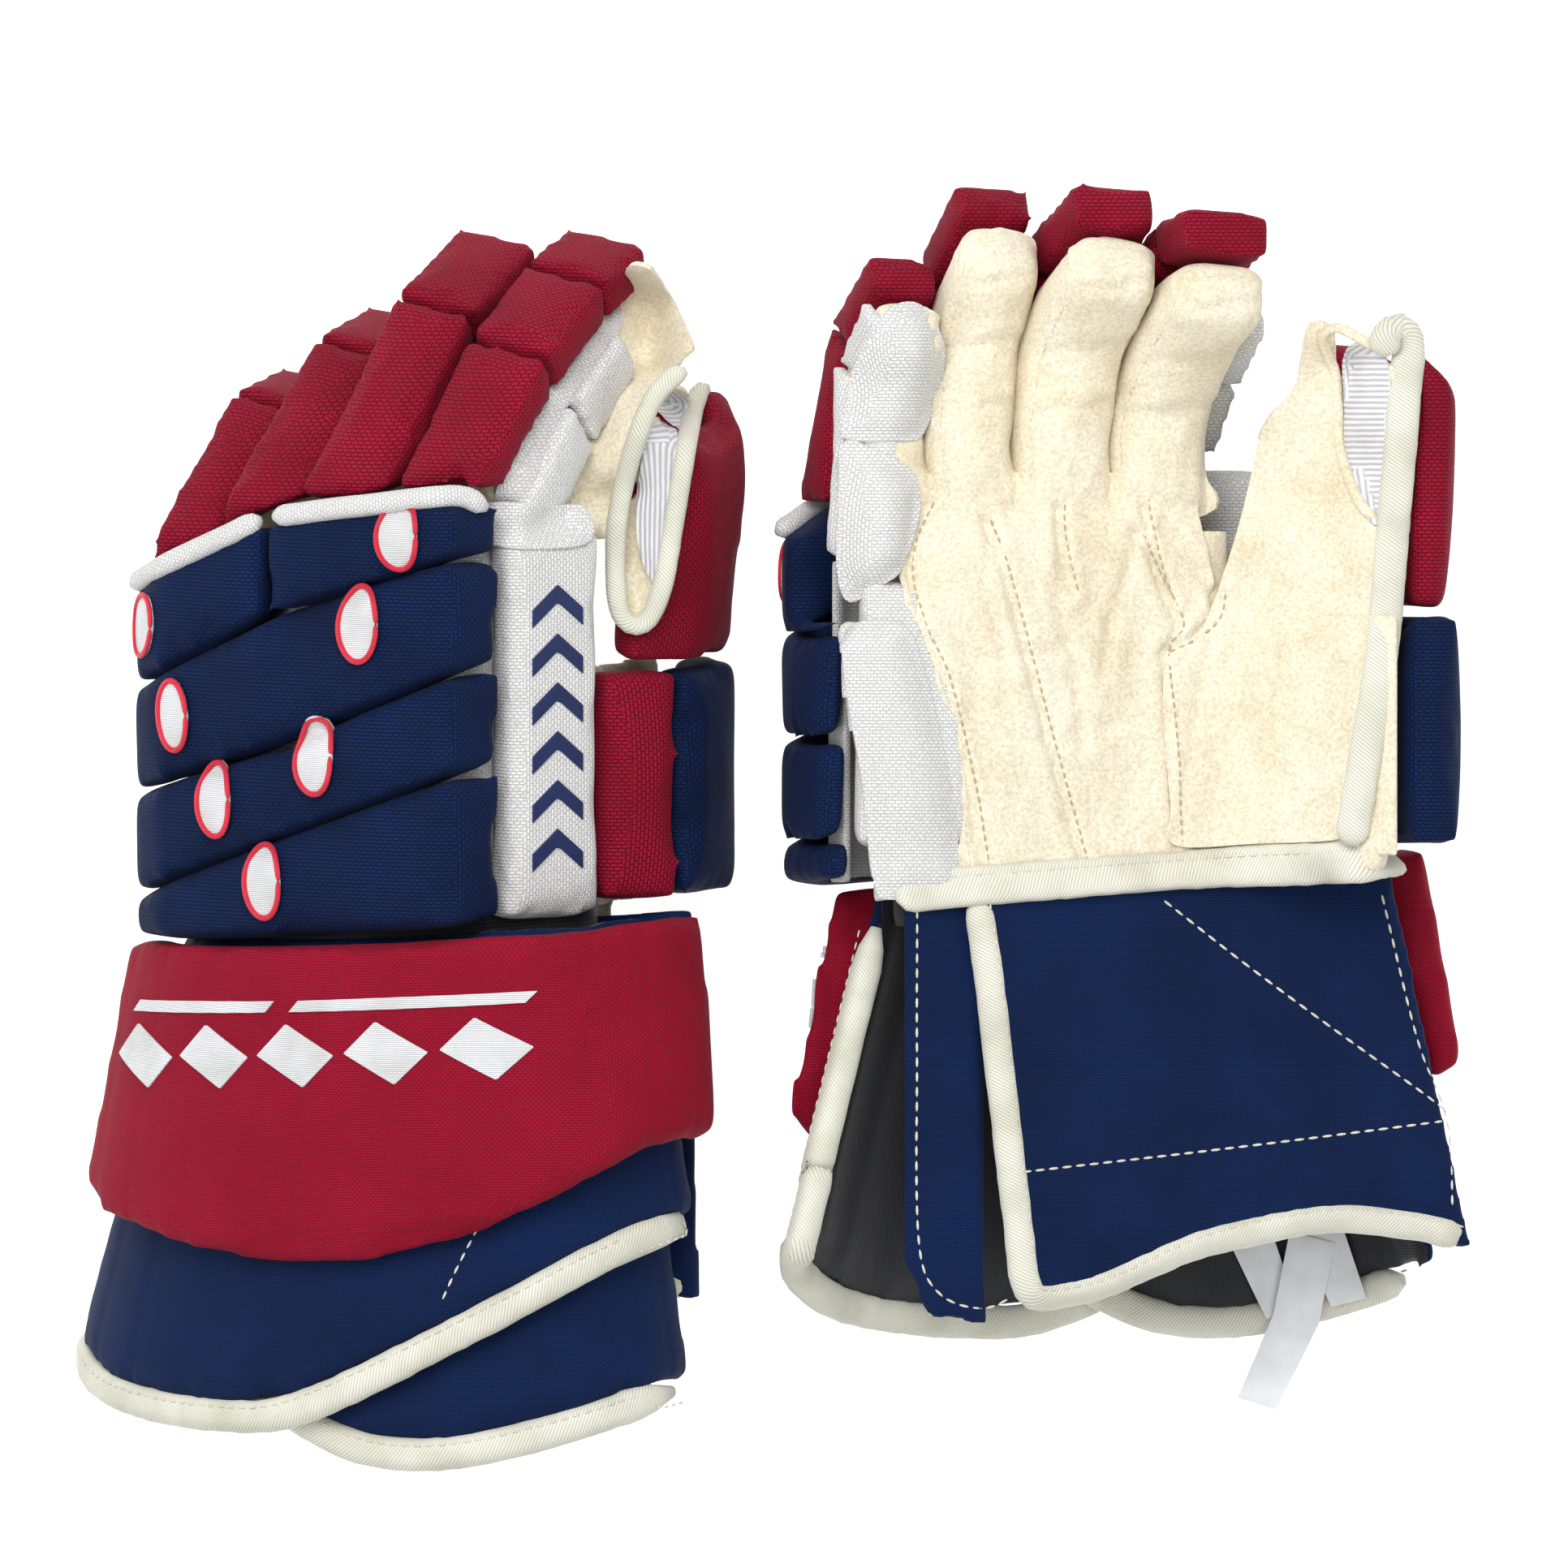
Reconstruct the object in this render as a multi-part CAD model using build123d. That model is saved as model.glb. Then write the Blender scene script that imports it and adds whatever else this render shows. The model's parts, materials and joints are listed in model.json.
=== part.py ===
from build123d import *
import math
import os

os.makedirs("parts", exist_ok=True)

# A pair of ice hockey gloves on a surface: the left one palm down, the right one palm up.
# Each glove is drawn in its own frame, in millimetres: u towards the thumb, v towards the
# fingertips, w out of the back of the hand, with the origin in the wrist seam. The right glove is
# the mirror of the left one (w turned round), and each is then rolled and set down in its place.

# ---- fits
CLEARANCE = 0.3        # between neighbouring soft pieces
SEAM_GAP = 0.6         # between two cells that one seam parts
WRIST_GAP = 0.8        # between the hand and the cuff

# ---- hand, across (u) and through (w)
PINKY_EDGE = -60.0     # outer edge of the rolls on the little-finger side
INDEX_EDGE = 50.0      # upper edge of the rolls on the index side
BACK_LEVEL = 46.0      # top of the rolls
SEAT_LEVEL = 24.0      # seat of the rolls on the backhand liner
PALM_LEVEL = -21.0     # inner face of the palm
PALM_THICKNESS = 2.4
LINER_THICKNESS = 3.0
SIDE_ROLL_THICKNESS = 11.0
SIDE_ROLL_WIDTH = 34.0
SIDE_ROLL_SETBACK = 10.0   # from the knuckle seam to the top of the long index-side roll
PIPING_WIDTH = 3.0
PIPING_DEPTH = 5.0
LINER_SETBACK = 12.0   # from the knuckle seam to the front edge of the liner's roof
LINER_LEG_SETBACK = 40.0
ROLL_LEG_SETBACK = 24.0   # the first roll wraps under the hand only behind this
PALM_EDGE = -15.0      # where the palm meets the long roll on the little-finger side
PALM_SETBACK = 0.8     # from the finger stalls to the front edge of the palm

# ---- thumb
THUMB_ROLL_THICKNESS = 15.0
THUMB_PAD_THICKNESS = 12.0
THUMB_GUARD_THICKNESS = 1.8
THUMB_WALL = 2.0
THUMB_HINGE_V = 68.0
THUMB_LENGTH = 76.0
THUMB_BINDING_THICKNESS = 3.2
THUMB_STALL_START = 19.0   # the stall starts this far along its section, clear of the index finger
THUMB_STALL_DEPTH = 17.0   # of the stall at that edge
# The outer face of the thumb rolls and of the thumb pad, in the thumb's own section frame.
THUMB_OUTER = [(0.5, 0.0), (27.0, 0.0), (55.0, -18.0), (62.0, -42.0)]
THUMB_PAD_OUTER = [(8.0, 0.0), (30.0, -2.0), (52.0, -18.0), (58.0, -40.0)]

# ---- fingers
FINGER_WALL = 2.4
FINGER_TIP_HEIGHT = 20.0
FINGER_PALM_REACH = 26.0     # the palm side of a stall starts this far behind its knuckle
FINGER_EDGE = 55.0     # outer edge of the index finger's stall at the knuckle seam
CHAMFER = 15.0         # the little finger's lower outer edge is cut off by this much
CHAMFER_LEAD = 30.0    # that cut starts this far before a joint of the finger
CHAMFER_REACH = 12.0   # and runs on this far past the next one
PAD_BASE_THICKNESS = 19.0
PAD_TIP_THICKNESS = 14.0
PAD_LEAD = 16.0        # how far a first pad reaches back towards the knuckle seam
SIDE_PAD_THICKNESS = 5.0     # at its upper edge
SIDE_PAD_FLARE = 8.0         # it is this much thicker at its lower edge
SIDE_PAD_LEAD = 5.0
PINKY_PAD_THICKNESS = 6.0

# ---- cuff
CUFF_LENGTH = 150.0
CUFF_ROLL_THICKNESS = 16.0
CUFF_FLAP_THICKNESS = 7.0
CUFF_FLAP_STEP = 6.0   # at the hem the flap lies this far inside the roll's outer face
CUFF_END = -12.0       # angle in section where the cuff stops on the thumb side
CUFF_SIDES = 12        # flat sides of the cuff's section
CUFF_ROLL_SETBACK = 20.0   # from the flap's free edge to the end of the cuff roll
BINDING_WIDTH = 7.5
BINDING_PROUD = 0.8
PALM_FLAP_THICKNESS = 5.0
GUSSET_THICKNESS = 2.5

# Seams across the back of the hand, from the little-finger side to the index side, as (u, v).
KNUCKLE_SEAM = [(-72, 84), (-8, 113), (48, 120), (66, 116)]
SEAM_1_2 = [(-72, 54), (-10, 84), (48, 103), (66, 101)]
SEAM_2_3 = [(-72, 26), (-4, 48), (49, 70), (66, 73)]
SEAM_3_4 = [(-72, -4), (49, 41), (66, 43)]
WRIST_SEAM = [(-130, -15), (160, 4)]
# The lower edge of the cuff roll, from the little-finger side to the thumb side.
ROLL_HEM = [(-130, -58), (-88, -76), (-68, -91), (-36, -99), (-3, -103), (25, -101),
            (56, -93), (80, -80), (96, -67), (140, -44)]
ROLL_1_SPLIT = -9.5    # u of the seam that parts the first roll into two cells

# Each finger, from the thumb side: its width, the height of its stall at the knuckle, and the
# lengths of its segments along the back.
FINGERS = {
    "index": {"width": 28.0, "height": 42.0, "lengths": (40, 33, 26)},
    "middle": {"width": 27.0, "height": 43.0, "lengths": (54, 38)},
    "ring": {"width": 24.5, "height": 40.0, "lengths": (46, 32)},
    "pinky": {"width": 22.0, "height": 33.0, "lengths": (37, 29)},
}

# How each glove lies. The roll turns it about its length, the strip slope and thumb turn open or
# close its thumb side, and each finger has a curl for each segment and a lean towards the thumb.
LEFT = {
    "name": "left",
    "mirrored": False,
    "place": (-118.0, -23.5, 60.0),
    "roll": 25.0,
    "pitch": 5.0,
    "strip_slope": -62.0,
    "thumb_turn": -55.0,
    "thumb_lean": 6.0,
    "finger_lean": 11.0,
    "curl": {"index": (44, 56, 68), "middle": (40, 62), "ring": (50, 76), "pinky": (50, 78)},
    "wrist_radii": (85.0, 62.0),
    "wrist_centre": (14.5, -12.0),
    "hem_radii": (107.0, 68.0),
    "hem_centre": (6.0, -12.0),
    "cuff_start": 180.0,
    "hem_shift": (0.0, 0.0),
    "side_hem_shift": (0.0, 0.0),
    "flap_edges": ((-24.0, -24.0), (90.0, 92.0)),
}
RIGHT = {
    "name": "right",
    "mirrored": True,
    "place": (66.0, -9.0, 66.0),
    "roll": 20.0,
    "pitch": 0.0,
    "strip_slope": -40.0,
    "thumb_turn": -32.0,
    "thumb_lean": 3.0,
    "finger_lean": 6.0,
    "curl": {"index": (46, 60, 76), "middle": (38, 62), "ring": (18, 44), "pinky": (5, 50)},
    "wrist_radii": (90.0, 52.0),
    "wrist_centre": (35.0, -8.0),
    "hem_radii": (117.0, 56.0),
    "hem_centre": (33.0, -8.0),
    "cuff_start": 180.0,
    "hem_shift": (27.0, 10.0),
    "side_hem_shift": (38.0, 20.0),
    "flap_edges": ((-20.0, -6.0), (107.0, 132.0)),
}

FAR = 400.0            # longer than anything in the glove


# ---------------------------------------------------------------- outlines and prisms
def offset_line(line, distance):
    """The open polyline moved to its left by a distance, with mitred corners."""
    normals = []
    for (x0, y0), (x1, y1) in zip(line, line[1:]):
        length = math.hypot(x1 - x0, y1 - y0)
        normals.append(((y0 - y1) / length, (x1 - x0) / length))
    moved = []
    for i, (x, y) in enumerate(line):
        before = normals[max(i - 1, 0)]
        after = normals[min(i, len(normals) - 1)]
        scale = distance / (1 + before[0] * after[0] + before[1] * after[1])
        moved.append((x + scale * (before[0] + after[0]), y + scale * (before[1] + after[1])))
    return moved


def band(line, near, far):
    """The outline between two offsets of one polyline."""
    return offset_line(line, near) + offset_line(line, far)[::-1]


def shift(line, dx, dy):
    return [(x + dx, y + dy) for x, y in line]


def height_at(line, x):
    """The second coordinate of a polyline that runs in +x, at x."""
    for (x0, y0), (x1, y1) in zip(line, line[1:]):
        if x <= x1:
            break
    return y0 + (y1 - y0) * (x - x0) / (x1 - x0)


def turned(point, degrees, origin):
    """A point of a frame that is turned and set at an origin, in the outer frame."""
    c = math.cos(math.radians(degrees))
    s = math.sin(math.radians(degrees))
    x, y = point
    return (origin[0] + x * c - y * s, origin[1] + x * s + y * c)


def across_prism(section, v0, v1):
    """A (u, w) section that runs along the hand from v0 to v1."""
    plane = Plane(origin=(0, v0, 0), x_dir=(1, 0, 0), z_dir=(0, -1, 0))
    return extrude(plane * Polygon(*section, align=None), amount=v1 - v0, dir=(0, 1, 0))


def plan_prism(outline, w0=-FAR, w1=FAR):
    """A (u, v) outline that runs through the hand from w0 to w1."""
    plane = Plane(origin=(0, 0, w0))
    return extrude(plane * Polygon(*outline, align=None), amount=w1 - w0, dir=(0, 0, 1))


def side_prism(profile, frame, near, far):
    """A (forward, up) profile in a finger's own frame, from near to far across it."""
    base = frame.offset(near)
    return extrude(base * Polygon(*profile, align=None), amount=far - near, dir=frame.z_dir)


def between(lower, upper):
    """The plan outline between two seams."""
    return list(lower) + list(upper)[::-1]


# ---------------------------------------------------------------- hand
def back_outline():
    """The outer face of the rolls in section, from under the little-finger side to the index."""
    return [
        (PINKY_EDGE + 7.5, PALM_LEVEL + 6),
        (PINKY_EDGE, PALM_LEVEL + 14),
        (PINKY_EDGE, SEAT_LEVEL - 9),
        (PINKY_EDGE + 2, BACK_LEVEL - 16),
        (PINKY_EDGE + 14, BACK_LEVEL - 6),
        (-14, BACK_LEVEL - 0.5),
        (24, BACK_LEVEL + 1.5),
        (INDEX_EDGE, BACK_LEVEL - 1),
        (INDEX_EDGE + 7, SEAT_LEVEL),
    ]


def seat_outline():
    """The seat of the rolls in section, from under the little-finger side to the index side."""
    return [
        (PINKY_EDGE + 9, PALM_LEVEL + 16),
        (PINKY_EDGE + 9, SEAT_LEVEL - 15),
        (PINKY_EDGE + 17, SEAT_LEVEL - 6),
        (-14, SEAT_LEVEL),
        (24, SEAT_LEVEL + 2),
        (INDEX_EDGE - 2, SEAT_LEVEL - 1),
    ]


def roll_split():
    """The slit that parts the first roll, and the piping above it, into two."""
    return Pos(ROLL_1_SPLIT, 0, 0) * Box(SEAM_GAP, FAR, FAR)


def rolls():
    """The four rolls across the back of the hand; the first is two cells."""
    section = across_prism(back_outline() + seat_outline()[::-1], -60, 150)
    seams = [KNUCKLE_SEAM, SEAM_1_2, SEAM_2_3, SEAM_3_4]
    made = []
    for number, top in enumerate(seams, 1):
        upper = shift(top, 0, -SEAM_GAP / 2)
        if number < len(seams):
            lower = shift(seams[number], 0, SEAM_GAP / 2)
        else:
            lower = shift(WRIST_SEAM, 0, WRIST_GAP / 2)
        made.append(section & plan_prism(between(lower, upper)))
    leg_end = height_at(KNUCKLE_SEAM, PINKY_EDGE) - ROLL_LEG_SETBACK
    leg = [(-FAR, leg_end), (PINKY_EDGE + 16, leg_end), (PINKY_EDGE + 16, FAR), (-FAR, FAR)]
    made[0] = made[0] - roll_split() - plan_prism(leg, -FAR, SEAT_LEVEL - 9)
    return made


def knuckle_piping():
    """Two cords that lie in the seam between the first roll and the finger pads."""
    line = shift(KNUCKLE_SEAM, 0, CLEARANCE)
    plan = between(line, shift(line, 0, PIPING_WIDTH))
    skin = across_prism(band(back_outline()[3:8], -PIPING_DEPTH, 1), 50, 150)
    return (skin & plan_prism(plan)) - roll_split()


def strip_ends(pose):
    """The outer edges of the long roll on the index side, in section."""
    top = (INDEX_EDGE + 7.5, SEAT_LEVEL - 0.8)
    return top, turned((SIDE_ROLL_WIDTH, 0), pose["strip_slope"], top)


def index_side_roll(pose):
    section = band(list(strip_ends(pose)), 0, -SIDE_ROLL_THICKNESS)
    start = height_at(WRIST_SEAM, INDEX_EDGE) + WRIST_GAP
    return across_prism(section, start, height_at(KNUCKLE_SEAM, INDEX_EDGE) - SIDE_ROLL_SETBACK)


def pinky_side_roll(pose):
    """The long roll between the palm and the ends of the rolls on the little-finger side."""
    edge = PINKY_EDGE + 9 + CLEARANCE
    section = band([(PALM_EDGE, PALM_LEVEL - 1.2), (edge, PALM_LEVEL + 4)], 0, -SIDE_ROLL_THICKNESS)
    front = finger_base_line(pose, FINGER_PALM_REACH + PALM_SETBACK)
    start = height_at(WRIST_SEAM, PINKY_EDGE) + WRIST_GAP + 2
    inner = PALM_EDGE - CLEARANCE
    outline = [
        (edge, start),
        (edge, front[0][1]),
        *[point for point in front if edge < point[0] < inner],
        (inner, height_at(front, inner)),
        (inner, start),
    ]
    return across_prism(section, 0, 150) & plan_prism(outline)


def backhand_liner():
    """The shell between the hand and the rolls, open towards the palm; its legs are shorter."""
    line = [
        *offset_line(seat_outline(), -CLEARANCE)[:5],
        (INDEX_EDGE - 3, SEAT_LEVEL - 5),
        (INDEX_EDGE + 8, PALM_LEVEL + 17),
    ]
    shell = across_prism(band(line, 0, -LINER_THICKNESS), -40, 150)
    wrist = shift(WRIST_SEAM, 0, WRIST_GAP / 2)
    roof = plan_prism(between(wrist, shift(KNUCKLE_SEAM, 0, -LINER_SETBACK)), SEAT_LEVEL - 14)
    legs = plan_prism(between(wrist, shift(KNUCKLE_SEAM, 0, -LINER_LEG_SETBACK)))
    return shell & (roof + legs)


def palm_line():
    return [(PALM_EDGE, PALM_LEVEL), (INDEX_EDGE + 12, PALM_LEVEL + 4)]


def palm(pose):
    """The palm sheet, and the piece that covers the thumb base."""
    sheet = across_prism(band(palm_line(), -PALM_THICKNESS, 0), -40, 150)
    front = finger_base_line(pose, FINGER_PALM_REACH + PALM_SETBACK)
    end = palm_line()[-1][0]
    outline = [
        (PALM_EDGE, height_at(WRIST_SEAM, PALM_EDGE) + WRIST_GAP / 2),
        (PALM_EDGE, height_at(front, PALM_EDGE)),
        *[point for point in front if PALM_EDGE < point[0] < end],
        (end, front[-1][1]),
        (end, height_at(WRIST_SEAM, end) + WRIST_GAP / 2),
    ]
    seam = (palm_line()[-1][0] + 0.4, palm_line()[-1][1] - 0.4)
    inner = offset_line(THUMB_OUTER, -THUMB_ROLL_THICKNESS)[-1]
    rim = thumb_point(pose, (inner[0] - 1.5, inner[1] - 1.5))
    cover = across_prism(
        band([seam, rim], -PALM_THICKNESS, 0),
        height_at(WRIST_SEAM, end) + WRIST_GAP,
        THUMB_HINGE_V - CLEARANCE,
    )
    return Compound(children=[*(sheet & plan_prism(outline)).solids(), *cover.solids()])


# ---------------------------------------------------------------- thumb
def thumb_point(pose, point):
    """A point of the thumb's own section frame, which starts where the long roll ends."""
    return turned(point, pose["thumb_turn"], strip_ends(pose)[1])


def thumb_section(pose, outline):
    return [thumb_point(pose, point) for point in outline]


def thumb_rolls(pose):
    """The inner and the outer roll over the thumb base."""
    inner = offset_line(THUMB_OUTER, -THUMB_ROLL_THICKNESS)
    first = [THUMB_OUTER[0], THUMB_OUTER[1], inner[1], inner[0]]
    second = shift([THUMB_OUTER[1]], SEAM_GAP, 0) + THUMB_OUTER[2:] + inner[:1:-1]
    second = second + shift([inner[1]], SEAM_GAP, 0)
    start = height_at(WRIST_SEAM, INDEX_EDGE + 60) + WRIST_GAP
    made = []
    for outline in (first, second):
        made.append(across_prism(thumb_section(pose, outline), start, THUMB_HINGE_V - CLEARANCE))
    return made


def lean_thumb(shape, pose):
    """Turns a thumb piece away from the index finger, about the outer end of its base."""
    reach = max(point[0] for point in thumb_section(pose, THUMB_PAD_OUTER))
    base = (reach, THUMB_HINGE_V, 0)
    return Pos(*base) * Rot(0, 0, -pose["thumb_lean"]) * Pos(*[-c for c in base]) * shape


def thumb_tip_cut(pose):
    """Rounds the thumb's far end in plan."""
    reach = max(point[0] for point in thumb_section(pose, THUMB_PAD_OUTER))
    far = THUMB_HINGE_V + THUMB_LENGTH
    return plan_prism([
        (reach - 110, 0), (reach + 10, 0), (reach + 1, far - 30), (reach - 5, far - 12),
        (reach - 17, far), (reach - 45, far), (reach - 70, far - 16), (reach - 110, far - 20),
    ])


def thumb_pieces(pose):
    start = THUMB_HINGE_V + CLEARANCE
    far = THUMB_HINGE_V + THUMB_LENGTH
    pad_inner = -THUMB_PAD_THICKNESS
    guard_outer = pad_inner - CLEARANCE
    guard_inner = guard_outer - THUMB_GUARD_THICKNESS
    hull = offset_line(THUMB_PAD_OUTER, guard_inner - CLEARANCE)
    inner_edge = (THUMB_STALL_START, height_at(hull, THUMB_STALL_START))
    stall = [inner_edge, *hull[1:], (hull[-1][0] - 11, hull[-1][1] - 2),
             (inner_edge[0] + 3, inner_edge[1] - THUMB_STALL_DEPTH)]
    keep = thumb_tip_cut(pose)
    pad = across_prism(thumb_section(pose, band(THUMB_PAD_OUTER, pad_inner, 0)), start, far)
    guard_band = band(THUMB_PAD_OUTER, guard_inner, guard_outer)
    guard = across_prism(thumb_section(pose, guard_band), start + 3, far - 14)
    outer = across_prism(thumb_section(pose, stall), start, far - 5)
    face = Polygon(*thumb_section(pose, stall), align=None)
    hollow_face = offset(face, amount=-THUMB_WALL, kind=Kind.INTERSECTION)
    plane = Plane(origin=(0, start - 5, 0), x_dir=(1, 0, 0), z_dir=(0, -1, 0))
    hollow = extrude(plane * hollow_face, amount=far - start - THUMB_WALL - 4, dir=(0, 1, 0))
    hollow = hollow & Pos(0, -THUMB_WALL, 0) * keep
    edge = [THUMB_PAD_OUTER[0], offset_line(THUMB_PAD_OUTER, pad_inner)[0]]
    binding_section = thumb_section(pose, band(edge, -CLEARANCE, -THUMB_BINDING_THICKNESS))
    binding = across_prism(binding_section, start, far - 8)
    pieces = {
        "thumb_pad": pad & keep,
        "thumb_guard": guard & keep,
        "thumb_sleeve": (outer & keep) - hollow,
        "thumb_binding": binding & keep,
    }
    return {node: lean_thumb(shape, pose) for node, shape in pieces.items()}


# ---------------------------------------------------------------- fingers
def finger_bases(pose):
    """Where each finger's knuckle fold starts: the fingers lie side by side and all lean alike,
    from the outer end of the knuckle seam, and each starts just ahead of that seam."""
    lean = math.radians(pose["finger_lean"])
    bases = {}
    edge = None
    for name, finger in FINGERS.items():
        half = finger["width"] / 2
        if edge is None:
            start = (FINGER_EDGE, height_at(KNUCKLE_SEAM, FINGER_EDGE))
            edge = start[0] * math.cos(lean) - start[1] * math.sin(lean)
        across = edge - half
        u = across
        for _ in range(8):
            corners = [height_at(KNUCKLE_SEAM, u + side) + side * math.sin(lean)
                       for side in (-half, half)]
            v = max(corners) + CLEARANCE
            u = (across + v * math.sin(lean)) / math.cos(lean)
        bases[name] = (u, v)
        edge = across - half - SEAM_GAP
    return bases


def finger_base_line(pose, back):
    """The front edge of the palm: just behind the base of every finger stall."""
    lean = math.radians(pose["finger_lean"])
    bases = finger_bases(pose)
    points = []
    for name in ("pinky", "ring", "middle", "index"):
        u, v = bases[name]
        half = FINGERS[name]["width"] / 2
        for side in (-half, half):
            points.append((
                u + side * math.cos(lean) - back * math.sin(lean),
                v - side * math.sin(lean) - back * math.cos(lean),
            ))
    return points


def finger_frame(name, pose):
    """The finger's plane: x forward, y up (w), z across towards the thumb; origin at its base."""
    lean = math.radians(pose["finger_lean"])
    return Plane(
        origin=(*finger_bases(pose)[name], PALM_LEVEL + 1),
        x_dir=(math.sin(lean), math.cos(lean), 0),
        z_dir=(math.cos(lean), -math.sin(lean), 0),
    )


def finger_lines(name, pose):
    """The back and the palm side of the stall in profile, one point for each joint."""
    lengths = FINGERS[name]["lengths"]
    base_height = FINGERS[name]["height"]
    curls = pose["curl"][name]
    back = [(0.0, base_height)]
    for length, curl in zip(lengths, curls):
        angle = math.radians(curl)
        x, y = back[-1]
        back.append((x + length * math.cos(angle), y - length * math.sin(angle)))
    front = [(0.0, 0.0)]
    for i in range(1, len(back)):
        after = curls[min(i, len(curls) - 1)]
        angle = math.radians((curls[i - 1] + after) / 2)
        share = i / (len(back) - 1)
        height = base_height + (FINGER_TIP_HEIGHT - base_height) * share ** 0.6
        x, y = back[i]
        front.append((x - height * math.sin(angle), y - height * math.cos(angle)))
    return back, front


def lower_edges(name, pose):
    """For each segment, a plane across the outer lower edge of the stall, the edge's length, its
    direction in the profile, and whether the plane's y points up (1) or down (-1)."""
    _, front = finger_lines(name, pose)
    frame = finger_frame(name, pose)
    front[0] = (-FINGER_PALM_REACH, 0.0)
    edges = []
    for (x0, y0), (x1, y1) in zip(front, front[1:]):
        length = math.hypot(x1 - x0, y1 - y0)
        dx = (x1 - x0) / length
        dy = (y1 - y0) / length
        corner = frame.from_local_coords(Vector(x0, y0, -FINGERS[name]["width"] / 2))
        plane = Plane(origin=corner, x_dir=frame.z_dir, z_dir=frame.x_dir * dx + frame.y_dir * dy)
        up = 1 if plane.y_dir.dot(frame.y_dir) > 0 else -1
        edges.append((plane, length, (dx, dy), up))
    return edges


def chamfer_cuts(name, pose, depth):
    """What is cut off the outer lower edge of a stall, to a depth below the chamfer's face."""
    reach = CHAMFER + depth * math.sqrt(2)
    cuts = []
    for plane, length, _, up in lower_edges(name, pose):
        outline = [(-5, -5 * up), (reach + 5, -5 * up), (-5, (reach + 5) * up)]
        face = plane.offset(-CHAMFER_LEAD) * Polygon(*outline, align=None)
        cuts.append(extrude(face, amount=CHAMFER_LEAD + length + CHAMFER_REACH, dir=plane.z_dir))
    return cuts


def finger_sleeve(name, pose):
    """A hollow stall, open at the knuckle and closed at the tip; its palm side starts further
    back than its knuckle."""
    back, front = finger_lines(name, pose)
    front[0] = (-FINGER_PALM_REACH, 0.0)
    frame = finger_frame(name, pose)
    half = FINGERS[name]["width"] / 2
    outer = side_prism(back + front[::-1], frame, -half, half)
    inner_back = offset_line(back, -FINGER_WALL)
    inner_front = offset_line(front, FINGER_WALL)
    angle = math.radians(pose["curl"][name][-1])
    inset = (-FINGER_WALL * math.cos(angle), FINGER_WALL * math.sin(angle))
    inner_back[-1] = shift([inner_back[-1]], *inset)[0]
    inner_front[-1] = shift([inner_front[-1]], *inset)[0]
    inner_back[0] = (-2.0, back[0][1] - FINGER_WALL)
    inner_front[0] = (-FINGER_PALM_REACH - 2.0, FINGER_WALL)
    inner = side_prism(inner_back + inner_front[::-1], frame, FINGER_WALL - half, half - FINGER_WALL)
    if name == "pinky":
        for cut in chamfer_cuts(name, pose, 0):
            outer = outer - cut
        for cut in chamfer_cuts(name, pose, FINGER_WALL):
            inner = inner - cut
    return outer - inner


def finger_pads(name, pose):
    """The foam blocks on the finger's back, mitred at its joints."""
    back, _ = finger_lines(name, pose)
    frame = finger_frame(name, pose)
    half = FINGERS[name]["width"] / 2
    inner = offset_line(back, CLEARANCE)
    count = len(back) - 1
    outer = []
    for i in range(count + 1):
        thickness = PAD_BASE_THICKNESS + (PAD_TIP_THICKNESS - PAD_BASE_THICKNESS) * i / count
        outer.append(offset_line(back, thickness)[i])
    roll_top = height_at(back_outline(), finger_bases(pose)[name][0]) - (PALM_LEVEL + 1)
    lead_top = min(roll_top, outer[0][1] + 4)
    front_region = plan_prism(
        between(shift(KNUCKLE_SEAM, 0, PIPING_WIDTH + 2 * CLEARANCE), [(-90, FAR), (90, FAR)])
    )
    pads = []
    for i in range(count):
        angle = math.radians(pose["curl"][name][i])
        gap = (SEAM_GAP / 2 * math.cos(angle), -SEAM_GAP / 2 * math.sin(angle))
        near = shift([inner[i], outer[i]], *gap)
        far = shift([outer[i + 1], inner[i + 1]], -gap[0], -gap[1])
        if i == 0:
            base = back[0][1] + CLEARANCE
            near = [(0.0, base), (-PAD_LEAD, base), (-PAD_LEAD, lead_top - 3), (0.0, lead_top)]
        pad = side_prism(near + far, frame, CLEARANCE - half, half - CLEARANCE)
        if i == 0:
            pad = pad & front_region
        pads += pad.solids()
    return Compound(children=pads)


def joint_line(name, pose, i, depths):
    """Points on the line across the finger's profile at joint i, at depths below its back."""
    back, front = finger_lines(name, pose)
    (bx, by), (fx, fy) = back[i], front[i]
    return [(bx + (fx - bx) * depth, by + (fy - by) * depth) for depth in depths]


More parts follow.
